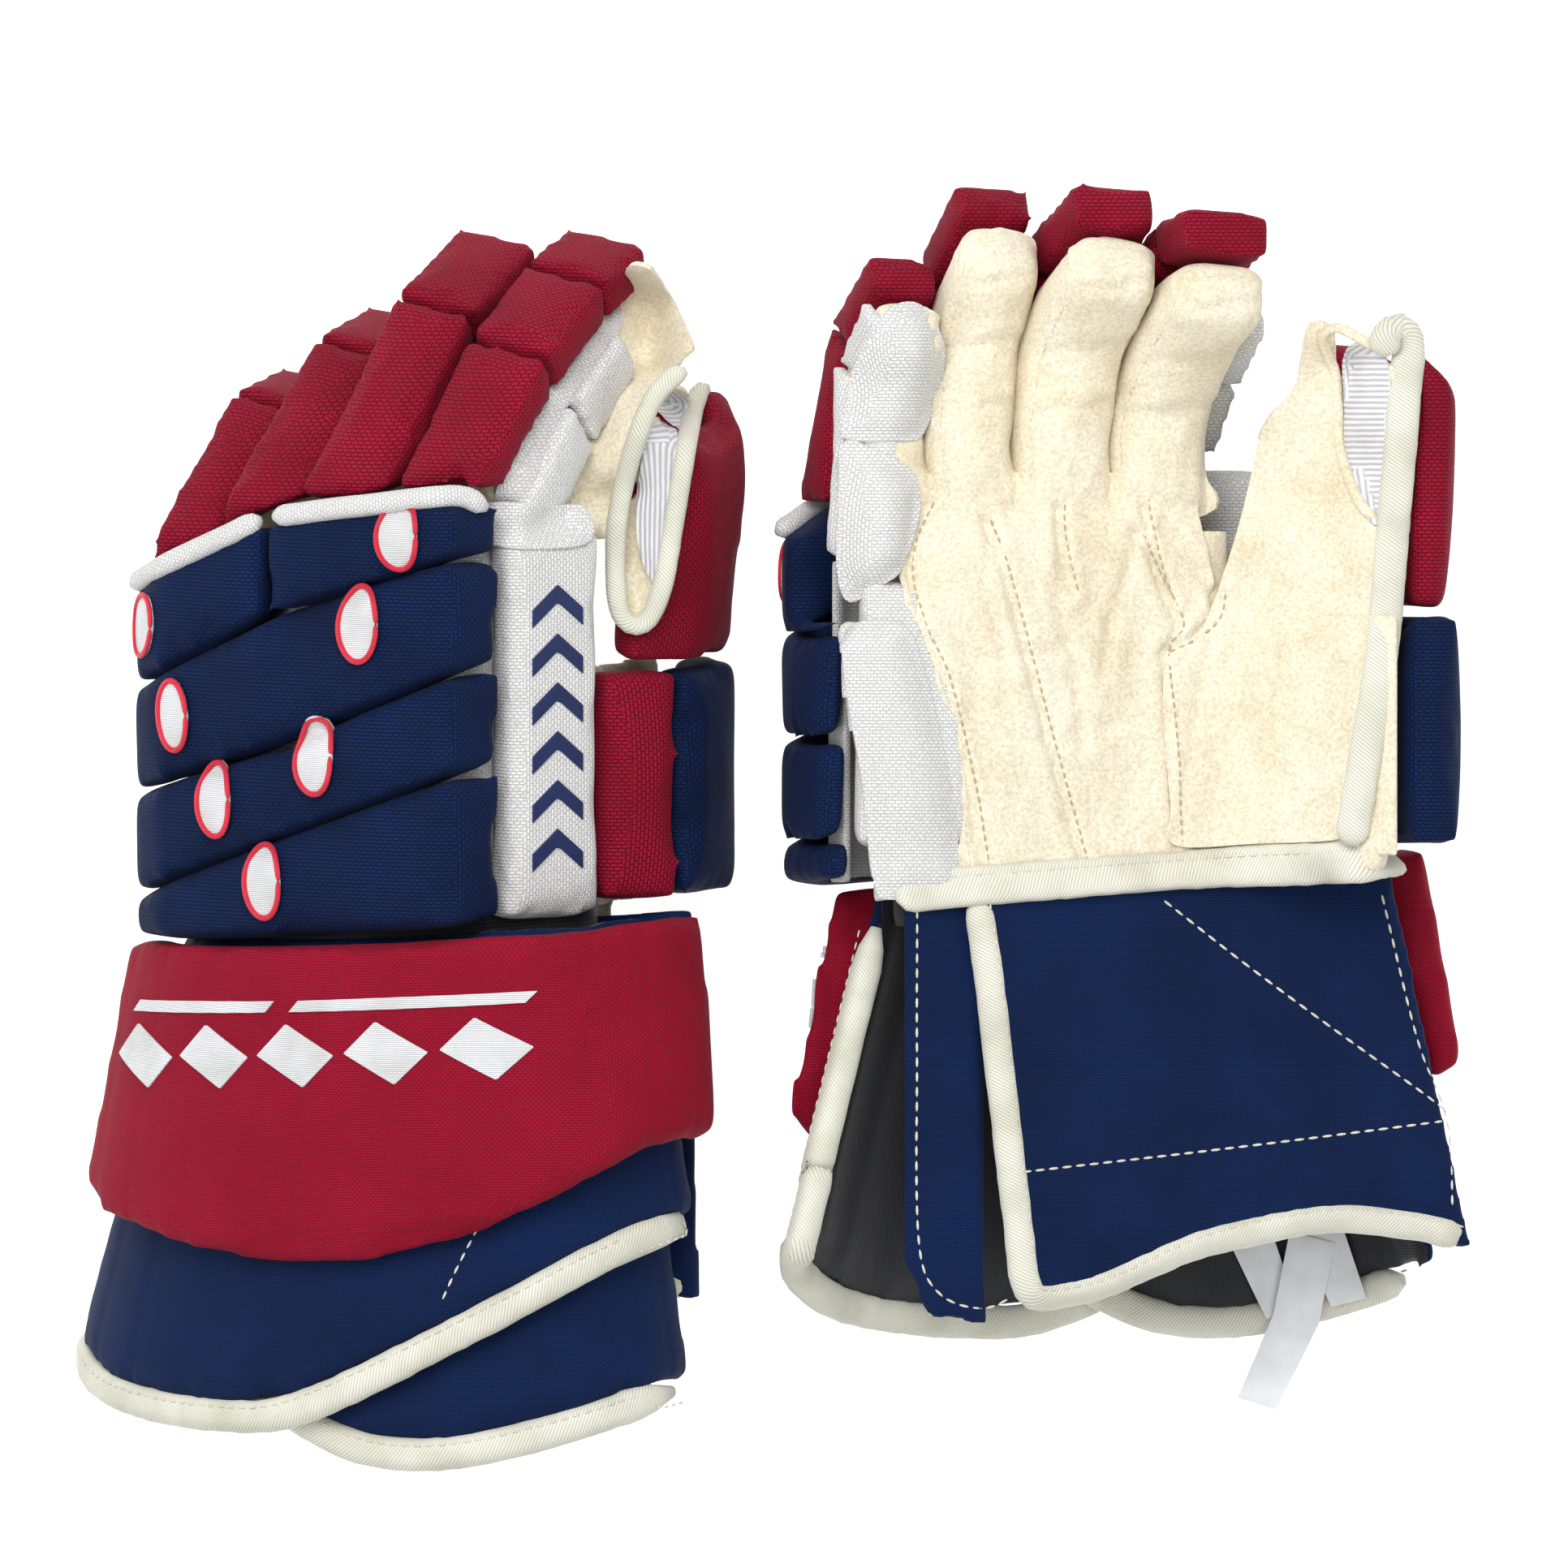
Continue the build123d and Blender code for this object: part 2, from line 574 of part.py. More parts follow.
def index_side_pads(pose):
    """Two pads on the free side of the index finger, thicker towards the palm, so that they
    slope outwards."""
    back, _ = finger_lines("index", pose)
    frame = finger_frame("index", pose)
    near = FINGERS["index"]["width"] / 2 + CLEARANCE
    pads = []
    for i in range(2):
        angle = math.radians(pose["curl"]["index"][i])
        along = (math.cos(angle), -math.sin(angle))
        gap = (SEAM_GAP / 2 * along[0], SEAM_GAP / 2 * along[1])
        start = shift(joint_line("index", pose, i, (0.03, 0.6)), *gap)
        if i == 0:
            start = shift(start, -SIDE_PAD_LEAD, 0)
        end = shift(joint_line("index", pose, i + 1, (0.6, 0.03)), -gap[0], -gap[1])
        block = side_prism(start + end, frame, near, near + 40)
        top = frame.from_local_coords(Vector(*back[i], 0))
        forward = frame.x_dir * along[0] + frame.y_dir * along[1]
        cut = Plane(origin=top, x_dir=frame.z_dir, z_dir=forward)
        rise = -1 if cut.y_dir.dot(frame.y_dir) > 0 else 1
        outline = [(0, 0), (near + SIDE_PAD_THICKNESS, 0),
                   (near + SIDE_PAD_THICKNESS + SIDE_PAD_FLARE, rise * 32), (0, rise * 32)]
        wedge = extrude(cut * Polygon(*outline, align=None), amount=70, both=True)
        pads += (block & wedge).solids()
    return Compound(children=pads)


def pinky_side_pads(pose):
    """Two pads on the cut-off lower outer edge of the little finger."""
    frame = finger_frame("pinky", pose)
    near = CHAMFER - CLEARANCE * math.sqrt(2)
    far = near - PINKY_PAD_THICKNESS * math.sqrt(2)
    pads = []
    for i, (plane, length, (dx, dy), up) in enumerate(lower_edges("pinky", pose)):
        line = [(-0.5, (near + 0.5) * up), (near, 0), (near - 2, -2 * up), (far - 1, -1 * up),
                (-4, (far + 4) * up), (-4.5, (near + 1) * up)]
        face = plane.offset(-CHAMFER_LEAD) * Polygon(*line, align=None)
        bar = extrude(face, amount=CHAMFER_LEAD + length + CHAMFER_REACH - CLEARANCE, dir=plane.z_dir)
        start = joint_line("pinky", pose, i, (0.0, 1.6))
        if i == 0:
            start = [(-FINGER_PALM_REACH + 2, 60), (-FINGER_PALM_REACH + 2, -40)]
        end = joint_line("pinky", pose, i + 1, (1.6, 0.0))
        start = shift(start, SEAM_GAP / 2 * dx, SEAM_GAP / 2 * dy)
        end = shift(end, -SEAM_GAP / 2 * dx, -SEAM_GAP / 2 * dy)
        pads += (bar & side_prism(start + end, frame, -60, 60)).solids()
    return Compound(children=pads)


# ---------------------------------------------------------------- cuff
def cuff_line(pose, v, inset):
    """The cuff's outer line in section at v, drawn in by an inset: from the little-finger side
    over the back to the thumb side. Its radii and centre change evenly from wrist to hem."""
    share = -v / CUFF_LENGTH
    radii = [r0 + (r1 - r0) * share for r0, r1 in zip(pose["wrist_radii"], pose["hem_radii"])]
    centre = [c0 + (c1 - c0) * share for c0, c1 in zip(pose["wrist_centre"], pose["hem_centre"])]
    line = []
    for i in range(CUFF_SIDES + 1):
        angle = math.radians(pose["cuff_start"] + (CUFF_END - pose["cuff_start"]) * i / CUFF_SIDES)
        line.append((
            centre[0] + (radii[0] - inset) * math.cos(angle),
            centre[1] + (radii[1] - inset) * math.sin(angle),
        ))
    return line


def cuff_layer(pose, insets, thicknesses):
    """A flared layer of the cuff; the insets and thicknesses are those at wrist and hem."""
    faces = []
    for v in (20, -190):
        share = -v / CUFF_LENGTH
        inset = insets[0] + (insets[1] - insets[0]) * share
        thickness = thicknesses[0] + (thicknesses[1] - thicknesses[0]) * share
        outer = cuff_line(pose, v, inset)
        inner = cuff_line(pose, v, inset + thickness)
        plane = Plane(origin=(0, v, 0), x_dir=(1, 0, 0), z_dir=(0, -1, 0))
        faces.append(plane * Polygon(*outer, *inner[::-1], align=None))
    return loft(faces, ruled=True)


def back_flap_hem(pose):
    hem = [(-140, -96), (-104, -108), (-96, -124), (-86, -137), (-64, -147), (-25, -151),
           (5, -147), (56, -121), (92, -98), (140, -70)]
    return shift(hem, *pose["hem_shift"])


def side_flap_hem(pose):
    hem = [(-22, -139), (2, -153), (22, -160), (46, -160), (76, -152), (100, -140), (112, -126),
           (150, -96)]
    return shift(hem, *pose["side_hem_shift"])


def cuff_pieces(pose):
    wrist = shift(WRIST_SEAM, 0, -WRIST_GAP / 2)
    roll_hem = shift(ROLL_HEM, pose["hem_shift"][0], 0)
    flap_inset = (CUFF_ROLL_THICKNESS + CLEARANCE, CUFF_FLAP_STEP)
    flap_thick = (CUFF_FLAP_THICKNESS, CUFF_FLAP_THICKNESS)
    proud_thick = [thick + 2 * BINDING_PROUD for thick in flap_thick]
    side_inset = [inset + CUFF_FLAP_THICKNESS + 2 * BINDING_PROUD + CLEARANCE for inset in flap_inset]
    side_top = shift([(-24, -108), (60, -86), (150, -60)], *pose["side_hem_shift"])
    free_edge = pose["wrist_centre"][1] + BINDING_WIDTH
    mid = pose["wrist_centre"][0]
    edge_strip = [(-FAR, -FAR), (mid, -FAR), (mid, FAR), (-FAR, FAR)]
    roll = cuff_layer(pose, (0, 0), (CUFF_ROLL_THICKNESS, CUFF_FLAP_STEP - CLEARANCE))
    roll = roll & plan_prism(between(roll_hem, wrist))
    roll = roll - plan_prism(edge_strip, -FAR, free_edge + CUFF_ROLL_SETBACK - BINDING_WIDTH)

    back_hem = back_flap_hem(pose)
    inner_hem = offset_line(back_hem, BINDING_WIDTH)
    flap = cuff_layer(pose, flap_inset, flap_thick)
    flap = flap & plan_prism(between(shift(inner_hem, 0, CLEARANCE), wrist))
    edge = flap & plan_prism(edge_strip, -FAR, free_edge)
    flap = flap - plan_prism(edge_strip, -FAR, free_edge + CLEARANCE)
    hem_layer = cuff_layer(pose, [inset - BINDING_PROUD for inset in flap_inset], proud_thick)
    under_roll = plan_prism(between([(-FAR, -FAR), (FAR, -FAR)], shift(roll_hem, 0, -CLEARANCE)))
    hem = hem_layer & plan_prism(between(back_hem, inner_hem)) & under_roll

    side_hem = side_flap_hem(pose)
    inner_side_hem = offset_line(side_hem, BINDING_WIDTH)
    side = cuff_layer(pose, side_inset, flap_thick)
    side = side & plan_prism(between(shift(inner_side_hem, 0, CLEARANCE), side_top))
    side_layer = cuff_layer(pose, [inset - BINDING_PROUD for inset in side_inset], proud_thick)
    under_side = plan_prism(between([(-FAR, -FAR), (FAR, -FAR)], side_top))
    side_binding = side_layer & plan_prism(between(side_hem, inner_side_hem)) & under_side
    return {
        "cuff_roll": roll,
        "cuff_back_flap": flap,
        "cuff_side_flap": side,
        "cuff_binding": Compound(children=[*edge.solids(), *hem.solids(), *side_binding.solids()]),
    }


def palm_flap(pose):
    """The flap that closes the cuff on the palm side, over a narrower inner gusset."""
    wrist = shift(WRIST_SEAM, 0, -WRIST_GAP / 2)
    (left_top, left_hem), (right_top, right_hem) = pose["flap_edges"]
    end = cuff_line(pose, 0, 0)[-1]
    line = [(-40, PALM_LEVEL - 1.2), (INDEX_EDGE + 10, PALM_LEVEL + 1), (end[0], end[1] - 7),
            (end[0] + 20, end[1] - 10)]
    flap = across_prism(band(line, -PALM_FLAP_THICKNESS, 0), -200, 20)
    span = right_hem - left_hem
    outline = [
        (left_top, height_at(wrist, left_top)),
        (left_hem - 1, -118),
        (left_hem + 2, -131),
        (left_hem + 0.18 * span, -128),
        (left_hem + 0.42 * span, -115),
        (left_hem + 0.68 * span, -108),
        (right_hem, -114),
        (right_top, height_at(wrist, right_top)),
    ]
    gusset_line = [(-58, PALM_LEVEL + 4.2), (-12, PALM_LEVEL + 2.2)]
    gusset = across_prism(band(gusset_line, -GUSSET_THICKNESS, 0), -200, 20)
    gusset_outline = [
        (-38, height_at(wrist, -38)),
        (-38, -118),
        (-30, -134),
        (left_hem + 4, -138),
        (left_top + 10, height_at(wrist, left_top)),
    ]
    return Compound(children=[
        *(flap & plan_prism(outline)).solids(),
        *(gusset & plan_prism(gusset_outline)).solids(),
    ])


# ---------------------------------------------------------------- one glove, then the pair
def glove(pose):
    pieces = {"palm": palm(pose), "backhand_liner": backhand_liner()}
    for number, roll in enumerate(rolls(), 1):
        pieces[f"backhand_roll_{number}"] = roll
    pieces["knuckle_piping"] = knuckle_piping()
    pieces["index_side_roll"] = index_side_roll(pose)
    pieces["pinky_side_roll"] = pinky_side_roll(pose)
    pieces["thumb_base_roll"], pieces["thumb_outer_roll"] = thumb_rolls(pose)
    pieces.update(thumb_pieces(pose))
    for name in FINGERS:
        pieces[f"{name}_sleeve"] = finger_sleeve(name, pose)
        pieces[f"{name}_pads"] = finger_pads(name, pose)
    pieces["index_side_pads"] = index_side_pads(pose)
    pieces["pinky_side_pads"] = pinky_side_pads(pose)
    pieces.update(cuff_pieces(pose))
    pieces["palm_flap"] = palm_flap(pose)
    return pieces


def set_down(shape, pose):
    """Mirrors the right glove, rolls and pitches a glove and puts it in its place."""
    place = Pos(*pose["place"]) * Rot(pose["pitch"], 0, 0)
    if pose["mirrored"]:
        return place * Rot(0, pose["roll"], 0) * mirror(shape, about=Plane.XY)
    return place * Rot(0, -pose["roll"], 0) * shape


pieces = {}
for pose in (LEFT, RIGHT):
    for node, shape in glove(pose).items():
        pieces[f"{pose['name']}_{node}"] = set_down(shape, pose)

# The origin is the middle of the pair's bounding box, on the surface it lies on.
bounds = Compound(children=[solid for shape in pieces.values() for solid in shape.solids()]).bounding_box()
to_origin = Pos(-bounds.center().X, -bounds.center().Y, -bounds.min.Z)
for node, shape in pieces.items():
    export_step(to_origin * shape, f"parts/{node}.step")
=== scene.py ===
# %% [markdown]
# # A pair of ice hockey gloves, one palm down and one palm up
# The measured parts of both gloves come in first and stay as they are. Everything that shows is
# built around them: foam pads in knitted mesh, suede, binding tape, stitching and embroidery.

# %% Load the measured parts
import json
import math

import bmesh
import bpy
import numpy as np
from mathutils import Matrix, Vector, noise
from mathutils.bvhtree import BVHTree

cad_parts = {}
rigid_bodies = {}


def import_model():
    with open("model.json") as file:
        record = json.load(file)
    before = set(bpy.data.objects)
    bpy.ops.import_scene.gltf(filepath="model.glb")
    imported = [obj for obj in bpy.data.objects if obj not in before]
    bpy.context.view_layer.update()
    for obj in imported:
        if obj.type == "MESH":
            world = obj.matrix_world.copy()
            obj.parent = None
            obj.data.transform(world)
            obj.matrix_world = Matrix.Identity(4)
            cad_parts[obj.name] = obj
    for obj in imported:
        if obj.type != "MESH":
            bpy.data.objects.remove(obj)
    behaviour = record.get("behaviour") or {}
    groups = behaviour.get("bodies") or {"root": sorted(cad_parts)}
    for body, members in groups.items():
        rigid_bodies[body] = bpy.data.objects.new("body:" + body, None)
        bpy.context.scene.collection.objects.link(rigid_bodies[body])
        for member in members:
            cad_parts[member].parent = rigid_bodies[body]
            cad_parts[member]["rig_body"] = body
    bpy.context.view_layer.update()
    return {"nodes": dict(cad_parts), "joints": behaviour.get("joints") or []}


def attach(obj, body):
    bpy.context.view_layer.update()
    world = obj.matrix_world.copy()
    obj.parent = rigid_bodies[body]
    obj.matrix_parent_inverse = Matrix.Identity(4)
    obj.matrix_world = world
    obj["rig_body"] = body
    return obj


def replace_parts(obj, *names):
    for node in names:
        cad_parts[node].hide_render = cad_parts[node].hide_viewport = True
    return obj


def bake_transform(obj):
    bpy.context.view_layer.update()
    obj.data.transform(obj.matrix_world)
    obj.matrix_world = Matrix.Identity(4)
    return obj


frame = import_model()
joints = {joint["name"]: joint for joint in frame["joints"]}
scene = bpy.context.scene

# %% [markdown]
# Each glove was designed in its own frame: u towards the thumb, v towards the fingertips, w out of
# the back of the hand, in millimetres, with the origin in the wrist seam. Then it was turned as
# it lies on the table, and the right one is a mirror image. The same turn here lets one design
# line serve both gloves. The wrist's hinge fixes where each origin is.

# %% Each glove's own frame
MM = 0.001
WRIST_HINGE = (0.0, -6.483, 53.0)
LIE = {"left": (5.0, -25.0, 1.0), "right": (0.0, 20.0, -1.0)}   # pitch, roll, mirror
SIDES = tuple(LIE)


def glove_frame(side):
    """The matrix from a glove's own millimetres to the row frame's metres."""
    pitch, roll, mirror = LIE[side]
    turn = (Matrix.Rotation(math.radians(pitch), 4, "X")
            @ Matrix.Rotation(math.radians(roll), 4, "Y")
            @ Matrix.Diagonal((MM, MM, MM * mirror, 1.0)))
    place = Vector(joints[f"{side}_wrist"]["pos_m"]) - turn @ Vector(WRIST_HINGE)
    return Matrix.Translation(place) @ turn


FRAMES = {side: glove_frame(side) for side in SIDES}
for side in SIDES:
    print(side, "origin", [round(x, 4) for x in FRAMES[side].translation])

# %% [markdown]
# Colours are written as sRGB hex values. Blender works in linear light, so one function turns
# them. Another adds a node with its settings and links, and the last one gives a shader its
# colour, its bump and its finish, which keeps every material below short enough to read.

# %% Helpers for materials


def linear(code):
    """A hex colour as linear red, green, blue and alpha."""
    parts = [int(code[i:i + 2], 16) / 255 for i in (1, 3, 5)]
    return [x / 12.92 if x <= 0.04045 else ((x + 0.055) / 1.055) ** 2.4 for x in parts] + [1.0]


def set_inputs(node, **values):
    """Sets a node's inputs by name, with underscores for the spaces."""
    for name, value in values.items():
        node.inputs[name.replace("_", " ")].default_value = value


def add(tree, kind, links=None, stops=(), **settings):
    """A new node in the tree, with its settings and its links: inputs by name or number.
    A colour ramp also takes (position, hex) stops."""
    node = tree.nodes.new("ShaderNode" + kind)
    for name, value in settings.items():
        if hasattr(node, name):
            setattr(node, name, value)
        else:
            set_inputs(node, **{name: value})
    for name, source in (links or {}).items():
        if isinstance(source, (int, float, tuple, list)):
            node.inputs[name].default_value = source
        else:
            tree.links.new(source, node.inputs[name])
    for i, (position, code) in enumerate(stops):
        elements = node.color_ramp.elements
        element = elements[i] if i < len(elements) else elements.new(position)
        element.position = position
        element.color = linear(code)
    return node


def new_material(name):
    """An empty material with its shader, its tree and the piece's coordinates."""
    material = bpy.data.materials.new(name)
    material.use_nodes = True
    tree = material.node_tree
    return material, tree, tree.nodes["Principled BSDF"], add(tree, "TexCoord")


def finished(tree, shader, colour, height, strength, depth, invert=False, **values):
    """Gives a shader its colour, a bump of some millimetres from a height, and its finish."""
    tree.links.new(colour, shader.inputs["Base Color"])
    bump = add(tree, "Bump", {"Height": height}, invert=invert, Strength=strength,
               Distance=depth * MM)
    tree.links.new(bump.outputs["Normal"], shader.inputs["Normal"])
    set_inputs(shader, **values)

# %% [markdown]
# The pads' cover is a warp-knitted polyester spacer mesh. Its face is a staggered grid of small
# stitches with pits between them, about 2 mm by 1.1 mm, which catches light on each stitch and
# goes dark in each pit. A brick pattern with soft mortar has that layout. It runs on a UV map in
# millimetres that every cover gets further down, so the rows follow each face. The pits also
# take a darker colour, which is painted shade for their depth, and a slow noise varies the tone
# as handled cloth does.

# %% Knitted spacer mesh


def knit_mesh(name, face, painted_pit_shade, shade, pitch=1.9, depth=0.25):
    """Spacer mesh in one colour; pitch is the width of one stitch in millimetres."""
    material, tree, shader, place = new_material(name)
    rows = add(tree, "TexBrick", {"Vector": place.outputs["UV"]}, offset=0.5, Scale=1.0,
               Mortar_Size=pitch * 0.13, Mortar_Smooth=0.75, Bias=0.0, Brick_Width=pitch,
               Row_Height=pitch * 0.56)
    slow = add(tree, "TexNoise", {"Vector": place.outputs["Object"]}, Scale=38.0, Detail=3.0)
    fine = add(tree, "TexNoise", {"Vector": place.outputs["Object"]}, Scale=1400.0, Detail=2.0)
    yarn = add(tree, "ValToRGB", {"Fac": slow.outputs["Fac"]}, ((0.32, shade), (0.68, face)))
    dots = add(tree, "ValToRGB", {"Fac": fine.outputs["Fac"]},
               ((0.3, "#d8d8d8"), (0.7, "#ffffff")))
    yarn = add(tree, "MixRGB", {"Fac": 1.0, "Color1": yarn.outputs["Color"],
                                "Color2": dots.outputs["Color"]}, blend_type="MULTIPLY")
    # The pits' darker colour is painted shade for their depth.
    mixed = add(tree, "MixRGB", {"Fac": rows.outputs["Fac"], "Color1": yarn.outputs["Color"],
                                 "Color2": linear(painted_pit_shade)})
    height = add(tree, "Math", {0: fine.outputs["Fac"], 1: 0.25, 2: rows.outputs["Fac"]},
                 operation="MULTIPLY_ADD")
    finished(tree, shader, mixed.outputs["Color"], height.outputs["Value"], 0.8, depth,
             invert=True, Roughness=0.7, Sheen_Weight=0.02, Sheen_Roughness=0.45,
             Specular_IOR_Level=0.12)
    return material


RED_MESH = knit_mesh("red_polyester_spacer_mesh", "#a91034", "#5a0418", "#930b29")
NAVY_MESH = knit_mesh("navy_polyester_spacer_mesh", "#08275a", "#030e26", "#051d47")
WHITE_MESH = knit_mesh("white_polyester_spacer_mesh", "#f4f4f2", "#c6c6c6", "#ececea", pitch=1.7)
# The cuff's face cloth is a finer knit than the pads'.
CUFF_RED = knit_mesh("red_fine_knit", "#a90e32", "#74051f", "#9a0a29", pitch=1.35, depth=0.14)
CUFF_NAVY = knit_mesh("navy_fine_knit", "#08285b", "#041434", "#06204a", pitch=1.35, depth=0.14)
print("meshes:", RED_MESH.name, NAVY_MESH.name, WHITE_MESH.name)

# %% [markdown]
# The palm and the stalls are a synthetic suede: a microfibre felt, brushed so that it has a soft
# nap and no gloss. It shows fine fibre noise, broad cloudy patches where the nap lies another
# way, and a few soft stains. Sheen gives the bright rim that nap has.

# %% Suede


def suede(name, light, mid, dark):
    material, tree, shader, place = new_material(name)
    cloud = add(tree, "TexNoise", {"Vector": place.outputs["Object"]}, Scale=45.0, Detail=5.0,
                Roughness=0.6)
    fibre = add(tree, "TexNoise", {"Vector": place.outputs["Object"]}, Scale=900.0, Detail=3.0,
                Roughness=0.65)
    colour = add(tree, "ValToRGB", {"Fac": cloud.outputs["Fac"]},
                 ((0.28, dark), (0.48, mid), (0.72, light)))
    nap = add(tree, "ValToRGB", {"Fac": fibre.outputs["Fac"]},
              ((0.3, "#d9d2c2"), (0.62, "#ffffff")))
    colour = add(tree, "MixRGB", {"Fac": 0.8, "Color1": colour.outputs["Color"],
                                  "Color2": nap.outputs["Color"]}, blend_type="MULTIPLY")
    height = add(tree, "Math", {0: cloud.outputs["Fac"], 1: 1.5, 2: fibre.outputs["Fac"]},
                 operation="MULTIPLY_ADD")
    finished(tree, shader, colour.outputs["Color"], height.outputs["Value"], 0.6, 0.22,
             Roughness=0.95, Sheen_Weight=0.12, Sheen_Roughness=0.6, Specular_IOR_Level=0.2)
    return material


SUEDE = suede("cream_synthetic_suede", "#f1ebda", "#ebe3cd", "#dfd3b6")
print("suede:", SUEDE.name)

# %% [markdown]
# Edges are bound in a polyester twill tape, folded over and sewn: off-white, with fine diagonal
# ribs about 0.9 mm apart. Bands of a wave texture on the tape's UV map, turned by 60 degrees,
# give the ribs, and the grooves between them take a darker colour, which is painted shade. The
# cuff is lined in a dark, smooth tricot, which also makes the hand's wrist ring of painted shade,
# and inside the thumb stall there is a white rib-knit sleeve with 1.6 mm ribs.

# %% Ribbed cloths
WAVE_BAND = 0.3142   # the distance between two bands of a wave texture at scale 1


def ribbed(name, face, painted_groove_shade, rib, turn, depth, roughness=0.6, sheen=0.2):
    """A ribbed cloth: rib is the spacing in millimetres, turn the ribs' angle in degrees."""
    material, tree, shader, place = new_material(name)
    turned = add(tree, "Mapping", {"Vector": place.outputs["UV"]},
                 Rotation=(0.0, 0.0, math.radians(turn)))
    ribs = add(tree, "TexWave", {"Vector": turned.outputs["Vector"]}, bands_direction="X",
               Scale=WAVE_BAND / rib, Distortion=0.6, Detail=1.0, Detail_Scale=2.0)
    slow = add(tree, "TexNoise", {"Vector": place.outputs["Object"]}, Scale=60.0, Detail=3.0)
    # The grooves' darker colour is painted shade between the ribs.
    colour = add(tree, "ValToRGB", {"Fac": ribs.outputs["Fac"]}, ((0.1, painted_groove_shade), (0.6, face)))
    shade = add(tree, "ValToRGB", {"Fac": slow.outputs["Fac"]},
                ((0.3, "#e6e6e0"), (0.6, "#ffffff")))
    colour = add(tree, "MixRGB", {"Fac": 0.9, "Color1": colour.outputs["Color"],
                                  "Color2": shade.outputs["Color"]}, blend_type="MULTIPLY")
    finished(tree, shader, colour.outputs["Color"], ribs.outputs["Fac"], 0.7, depth,
             Roughness=roughness, Sheen_Weight=sheen, Specular_IOR_Level=0.35)
    return material


TWILL = ribbed("off_white_twill_tape", "#e2e1d4", "#c2c0b1", 0.9, 60.0, 0.12)
RIB_KNIT = ribbed("white_rib_knit", "#ececf0", "#b9b9c4", 1.6, 0.0, 0.5, sheen=0.3)
TRICOT = ribbed("dark_tricot_lining", "#14161e", "#0a0c12", 0.8, 0.0, 0.1)
print("ribbed:", TWILL.name, RIB_KNIT.name, TRICOT.name)

# %% [markdown]
# Embroidery is satin stitch: rayon threads side by side, which shine along their length, with the
# grooves between them painted darker as shade. They are drawn 0.55 mm apart, coarser than real
# ones, so that they show. The sewing thread is bonded polyester, made the same way with its ribs
# along the stitch: off-white, and a darker cream on the palm whose darkness is painted shade for
# the stitch holes.

# %% Threads


def satin(name, face, painted_groove_shade, turn):
    """Satin stitch in one colour; turn is the threads' angle in degrees."""
    material = ribbed(name, face, painted_groove_shade, 0.55, turn, 0.2, roughness=0.42, sheen=0.1)
    set_inputs(material.node_tree.nodes["Principled BSDF"], Anisotropic=0.4)
    return material


WHITE_SATIN = satin("white_rayon_satin_stitch", "#ececee", "#b9bcc4", 90.0)
RED_SATIN = satin("red_rayon_satin_stitch", "#ee2440", "#b81430", 0.0)
NAVY_SATIN = satin("navy_rayon_satin_stitch", "#1a2f68", "#0e1c45", 30.0)
THREAD = satin("off_white_polyester_thread", "#f2f0e6", "#c8c4b4", 0.0)
# Darker than the real thread: this colour is painted shade for the stitch holes.
STITCH_SHADE_THREAD = satin("cream_polyester_thread", "#cfc3a2", "#a89b78", 0.0)
LABEL = ribbed("woven_nylon_label", "#eceff2", "#d5d8de", 0.3, 0.0, 0.02, roughness=0.4)
print("threads:", WHITE_SATIN.name, RED_SATIN.name, THREAD.name)

# %% [markdown]
# ## Camera, floor and light
# The gloves lie on a white table and are seen from straight above, without perspective to speak
# of, so the camera is orthographic. Soft light comes from a large lamp above the fingertips,
# weaker ones from the left and the right, and the sky. The floor glows where only the camera
# sees it, so that it looks white, and still takes the gloves' shadow.

# %% The stage
CAMERA_WIDTH = 0.4482
CAMERA_PLACE = (0.0025, 0.012, 1.5)
LAMPS = {   # diameter, power and place
    "key": (1.1, 17.0, (-0.15, 0.75, 1.35)),
    "fill": (1.2, 6.0, (-1.1, -0.35, 0.9)),
    "rim": (0.9, 4.0, (1.0, -0.5, 0.9)),
}
LAMPS_AIM = (0.0, 0.0, 0.05)
FLOOR_REACH = 3.0
SKY_STRENGTH = 0.55


def linked(name, data):
    """A new object with this data, in the scene."""
    obj = bpy.data.objects.new(name, data)
    scene.collection.objects.link(obj)
    return obj


def to_object(bm, name):
    mesh = bpy.data.meshes.new(name)
    bm.to_mesh(mesh)
    bm.free()
    return linked(name, mesh)


scene.view_settings.view_transform = "Standard"
camera_data = bpy.data.cameras.new("camera")
camera_data.type = "ORTHO"
camera_data.ortho_scale = CAMERA_WIDTH
scene.camera = linked("camera", camera_data)
scene.camera.location = CAMERA_PLACE

for name, (diameter, power, spot) in LAMPS.items():
    light = bpy.data.lights.new(name, "AREA")
    light.shape = "DISK"
    light.size = diameter
    light.energy = power
    lamp = linked(name, light)
    lamp.location = spot
    aim = Vector(LAMPS_AIM) - Vector(spot)
    lamp.rotation_euler = aim.to_track_quat("-Z", "Y").to_euler()

bm = bmesh.new()
bmesh.ops.create_grid(bm, x_segments=1, y_segments=1, size=FLOOR_REACH)
floor = to_object(bm, "floor")

world = bpy.data.worlds.new("studio")
world.use_nodes = True
scene.world = world
set_inputs(world.node_tree.nodes["Background"], Color=linear("#ffffff"), Strength=SKY_STRENGTH)

